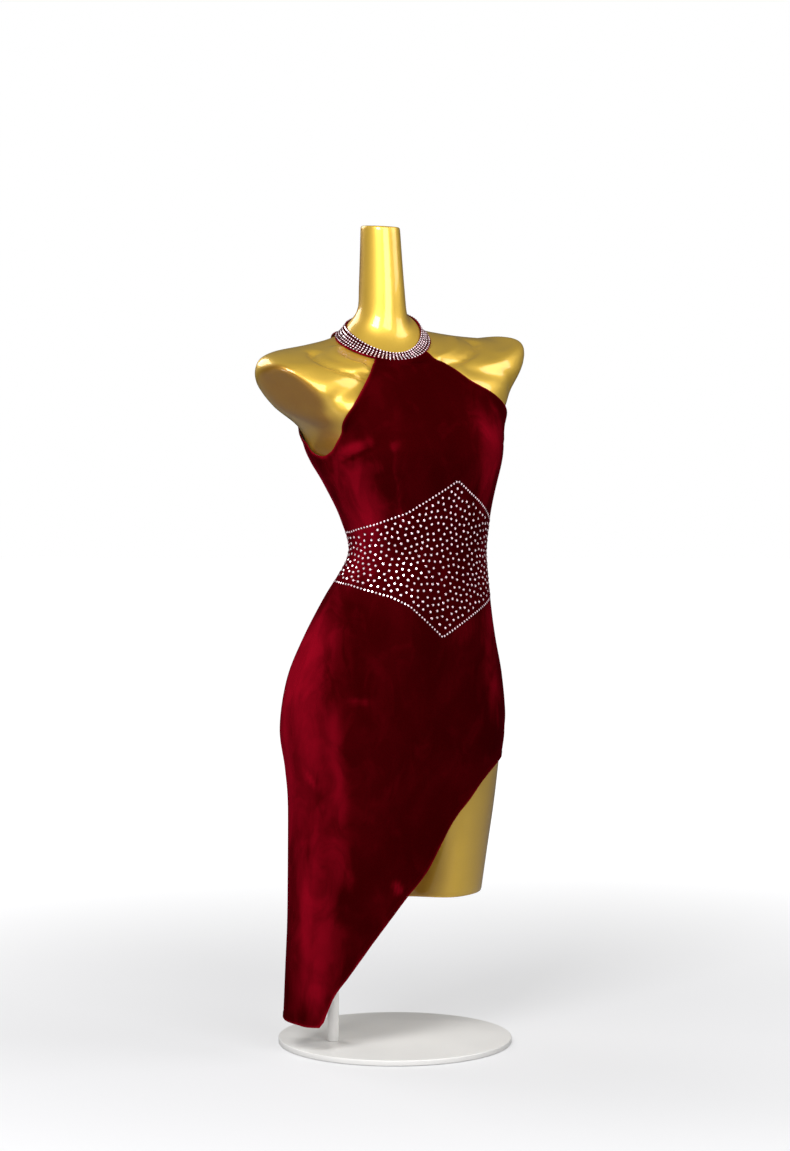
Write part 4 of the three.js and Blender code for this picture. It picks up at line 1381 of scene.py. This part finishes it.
class DRESS_OT_studio(Operator):
    """Adds the floor, the soft lights and the camera"""
    bl_idname = "dress.studio"
    bl_label = "Studio"

    def execute(self, context):
        studio = dress_settings(context).studio
        self.floor(studio)
        self.world(context.scene)
        for light in STUDIO_LIGHTS:
            self.softbox(context, **light)
        data = bpy.data.cameras.new("camera")
        camera = bpy.data.objects.new("camera", data)
        context.collection.objects.link(camera)
        back = Vector((math.sin(studio.azimuth), -math.cos(studio.azimuth), 0))
        camera.location = back * studio.distance + Vector((0, 0, studio.height))
        camera.rotation_euler = (math.pi / 2 + studio.pitch, 0, studio.azimuth)
        data.lens = studio.lens
        data.sensor_width = SENSOR_WIDTH
        context.scene.camera = camera
        context.scene.view_settings.view_transform = "Standard"
        return {"FINISHED"}

    @staticmethod
    def floor(studio):
        clear_selection()
        bpy.ops.mesh.primitive_circle_add(vertices=96, radius=FLOOR_RADIUS, fill_type="NGON",
                                          location=(0, 0, FLOOR_LEVEL))
        floor = bpy.context.active_object
        floor.name = "floor"
        material, tree, shader, place = new_material("pale floor", roughness=0.6, specular_ior_level=0.2)
        apart = add_node(tree, "ShaderNodeVectorMath", {0: place}, operation="LENGTH").outputs["Value"]
        grain = limits(tree, noise(tree, place, 40.0), 0.3, 0.7, 0.985, 1.0)
        paint(tree, shader, grain, dimmed(studio.floor, 0.97), studio.floor)
        shader.inputs["Emission Color"].default_value = (1, 1, 1, 1)
        glow = calculate(tree, "MULTIPLY", camera_ray(tree), limits(tree, apart, 0.3, 2.5, 0.50, 1.0))
        tree.links.new(glow, shader.inputs["Emission Strength"])
        floor.data.materials.append(material)

    @staticmethod
    def world(scene):
        world = bpy.data.worlds.new("studio")
        scene.world = world
        world.use_nodes = True
        tree = world.node_tree
        tree.nodes.clear()
        shade = blend(tree, camera_ray(tree), AROUND, WHITE)
        background = add_node(tree, "ShaderNodeBackground", {"Color": shade, "Strength": 1.0})
        add_node(tree, "ShaderNodeOutputWorld", {"Surface": background.outputs[0]})

    @staticmethod
    def softbox(context, name, place, target, width, height, power):
        data = bpy.data.lights.new(name, "AREA")
        data.shape = "RECTANGLE"
        data.size, data.size_y, data.energy = width, height, power
        lamp = bpy.data.objects.new(name, data)
        context.collection.objects.link(lamp)
        lamp.location = place
        lamp.rotation_euler = (Vector(target) - Vector(place)).to_track_quat("-Z", "Y").to_euler()


STUDIO_LIGHTS = named("name place target width height power", [
    ("key box", (-2.2, -1.35, 2.5), (0, 0, 0.85), 1.2, 1.2, 85),
    ("front box", (-0.6, -2.8, 1.9), (0, 0, 0.75), 1.7, 1.6, 52),
    ("right box", (2.0, -1.9, 2.5), (0, 0, 0.9), 1.8, 1.8, 36),
    ("left box", (-2.5, 0.0, 0.5), (0, 0, 0.4), 0.7, 0.9, 11),
    ("back box", (-0.6, 2.6, 2.4), (0, 0, 0.7), 1.6, 1.6, 34),
])


class DRESS_PT_sidebar(Panel):
    """Lists the dress's pieces and their sizes"""
    bl_idname = "DRESS_PT_sidebar"
    bl_label = "Latin Dance Dress"
    bl_space_type = "VIEW_3D"
    bl_region_type = "UI"
    bl_category = "Dance Dress"

    def draw(self, context):
        settings = dress_settings(context)
        for operator in PIECE_OPERATORS:
            self.layout.operator(operator.bl_idname)
        for group in ("cloth", "collar", "stones", "form", "stand", "studio"):
            box = self.layout.box()
            box.label(text=group.title())
            for key in getattr(settings, group).__annotations__:
                box.prop(getattr(settings, group), key)


PIECE_OPERATORS = (DRESS_OT_form, DRESS_OT_panels, DRESS_OT_collar, DRESS_OT_collar_stones,
                   DRESS_OT_waist_stones, DRESS_OT_hook, DRESS_OT_stand, DRESS_OT_studio)
CLASSES = (ClothSettings, StoneSettings, CollarSettings, FormSettings, StandSettings, StudioSettings,
           DressSettings, *PIECE_OPERATORS, DRESS_PT_sidebar)


def register():
    for cls in CLASSES:
        bpy.utils.register_class(cls)
    bpy.types.Scene.dance_dress = PointerProperty(type=DressSettings)


def unregister():
    del bpy.types.Scene.dance_dress
    for cls in reversed(CLASSES):
        bpy.utils.unregister_class(cls)


def main():
    register()
    bpy.ops.dress.form()
    bpy.ops.dress.panels()
    bpy.ops.dress.collar()
    bpy.ops.dress.collar_stones()
    bpy.ops.dress.waist_stones()
    bpy.ops.dress.hook()
    bpy.ops.dress.stand()
    bpy.ops.dress.studio()


if __name__ == "__main__":
    main()
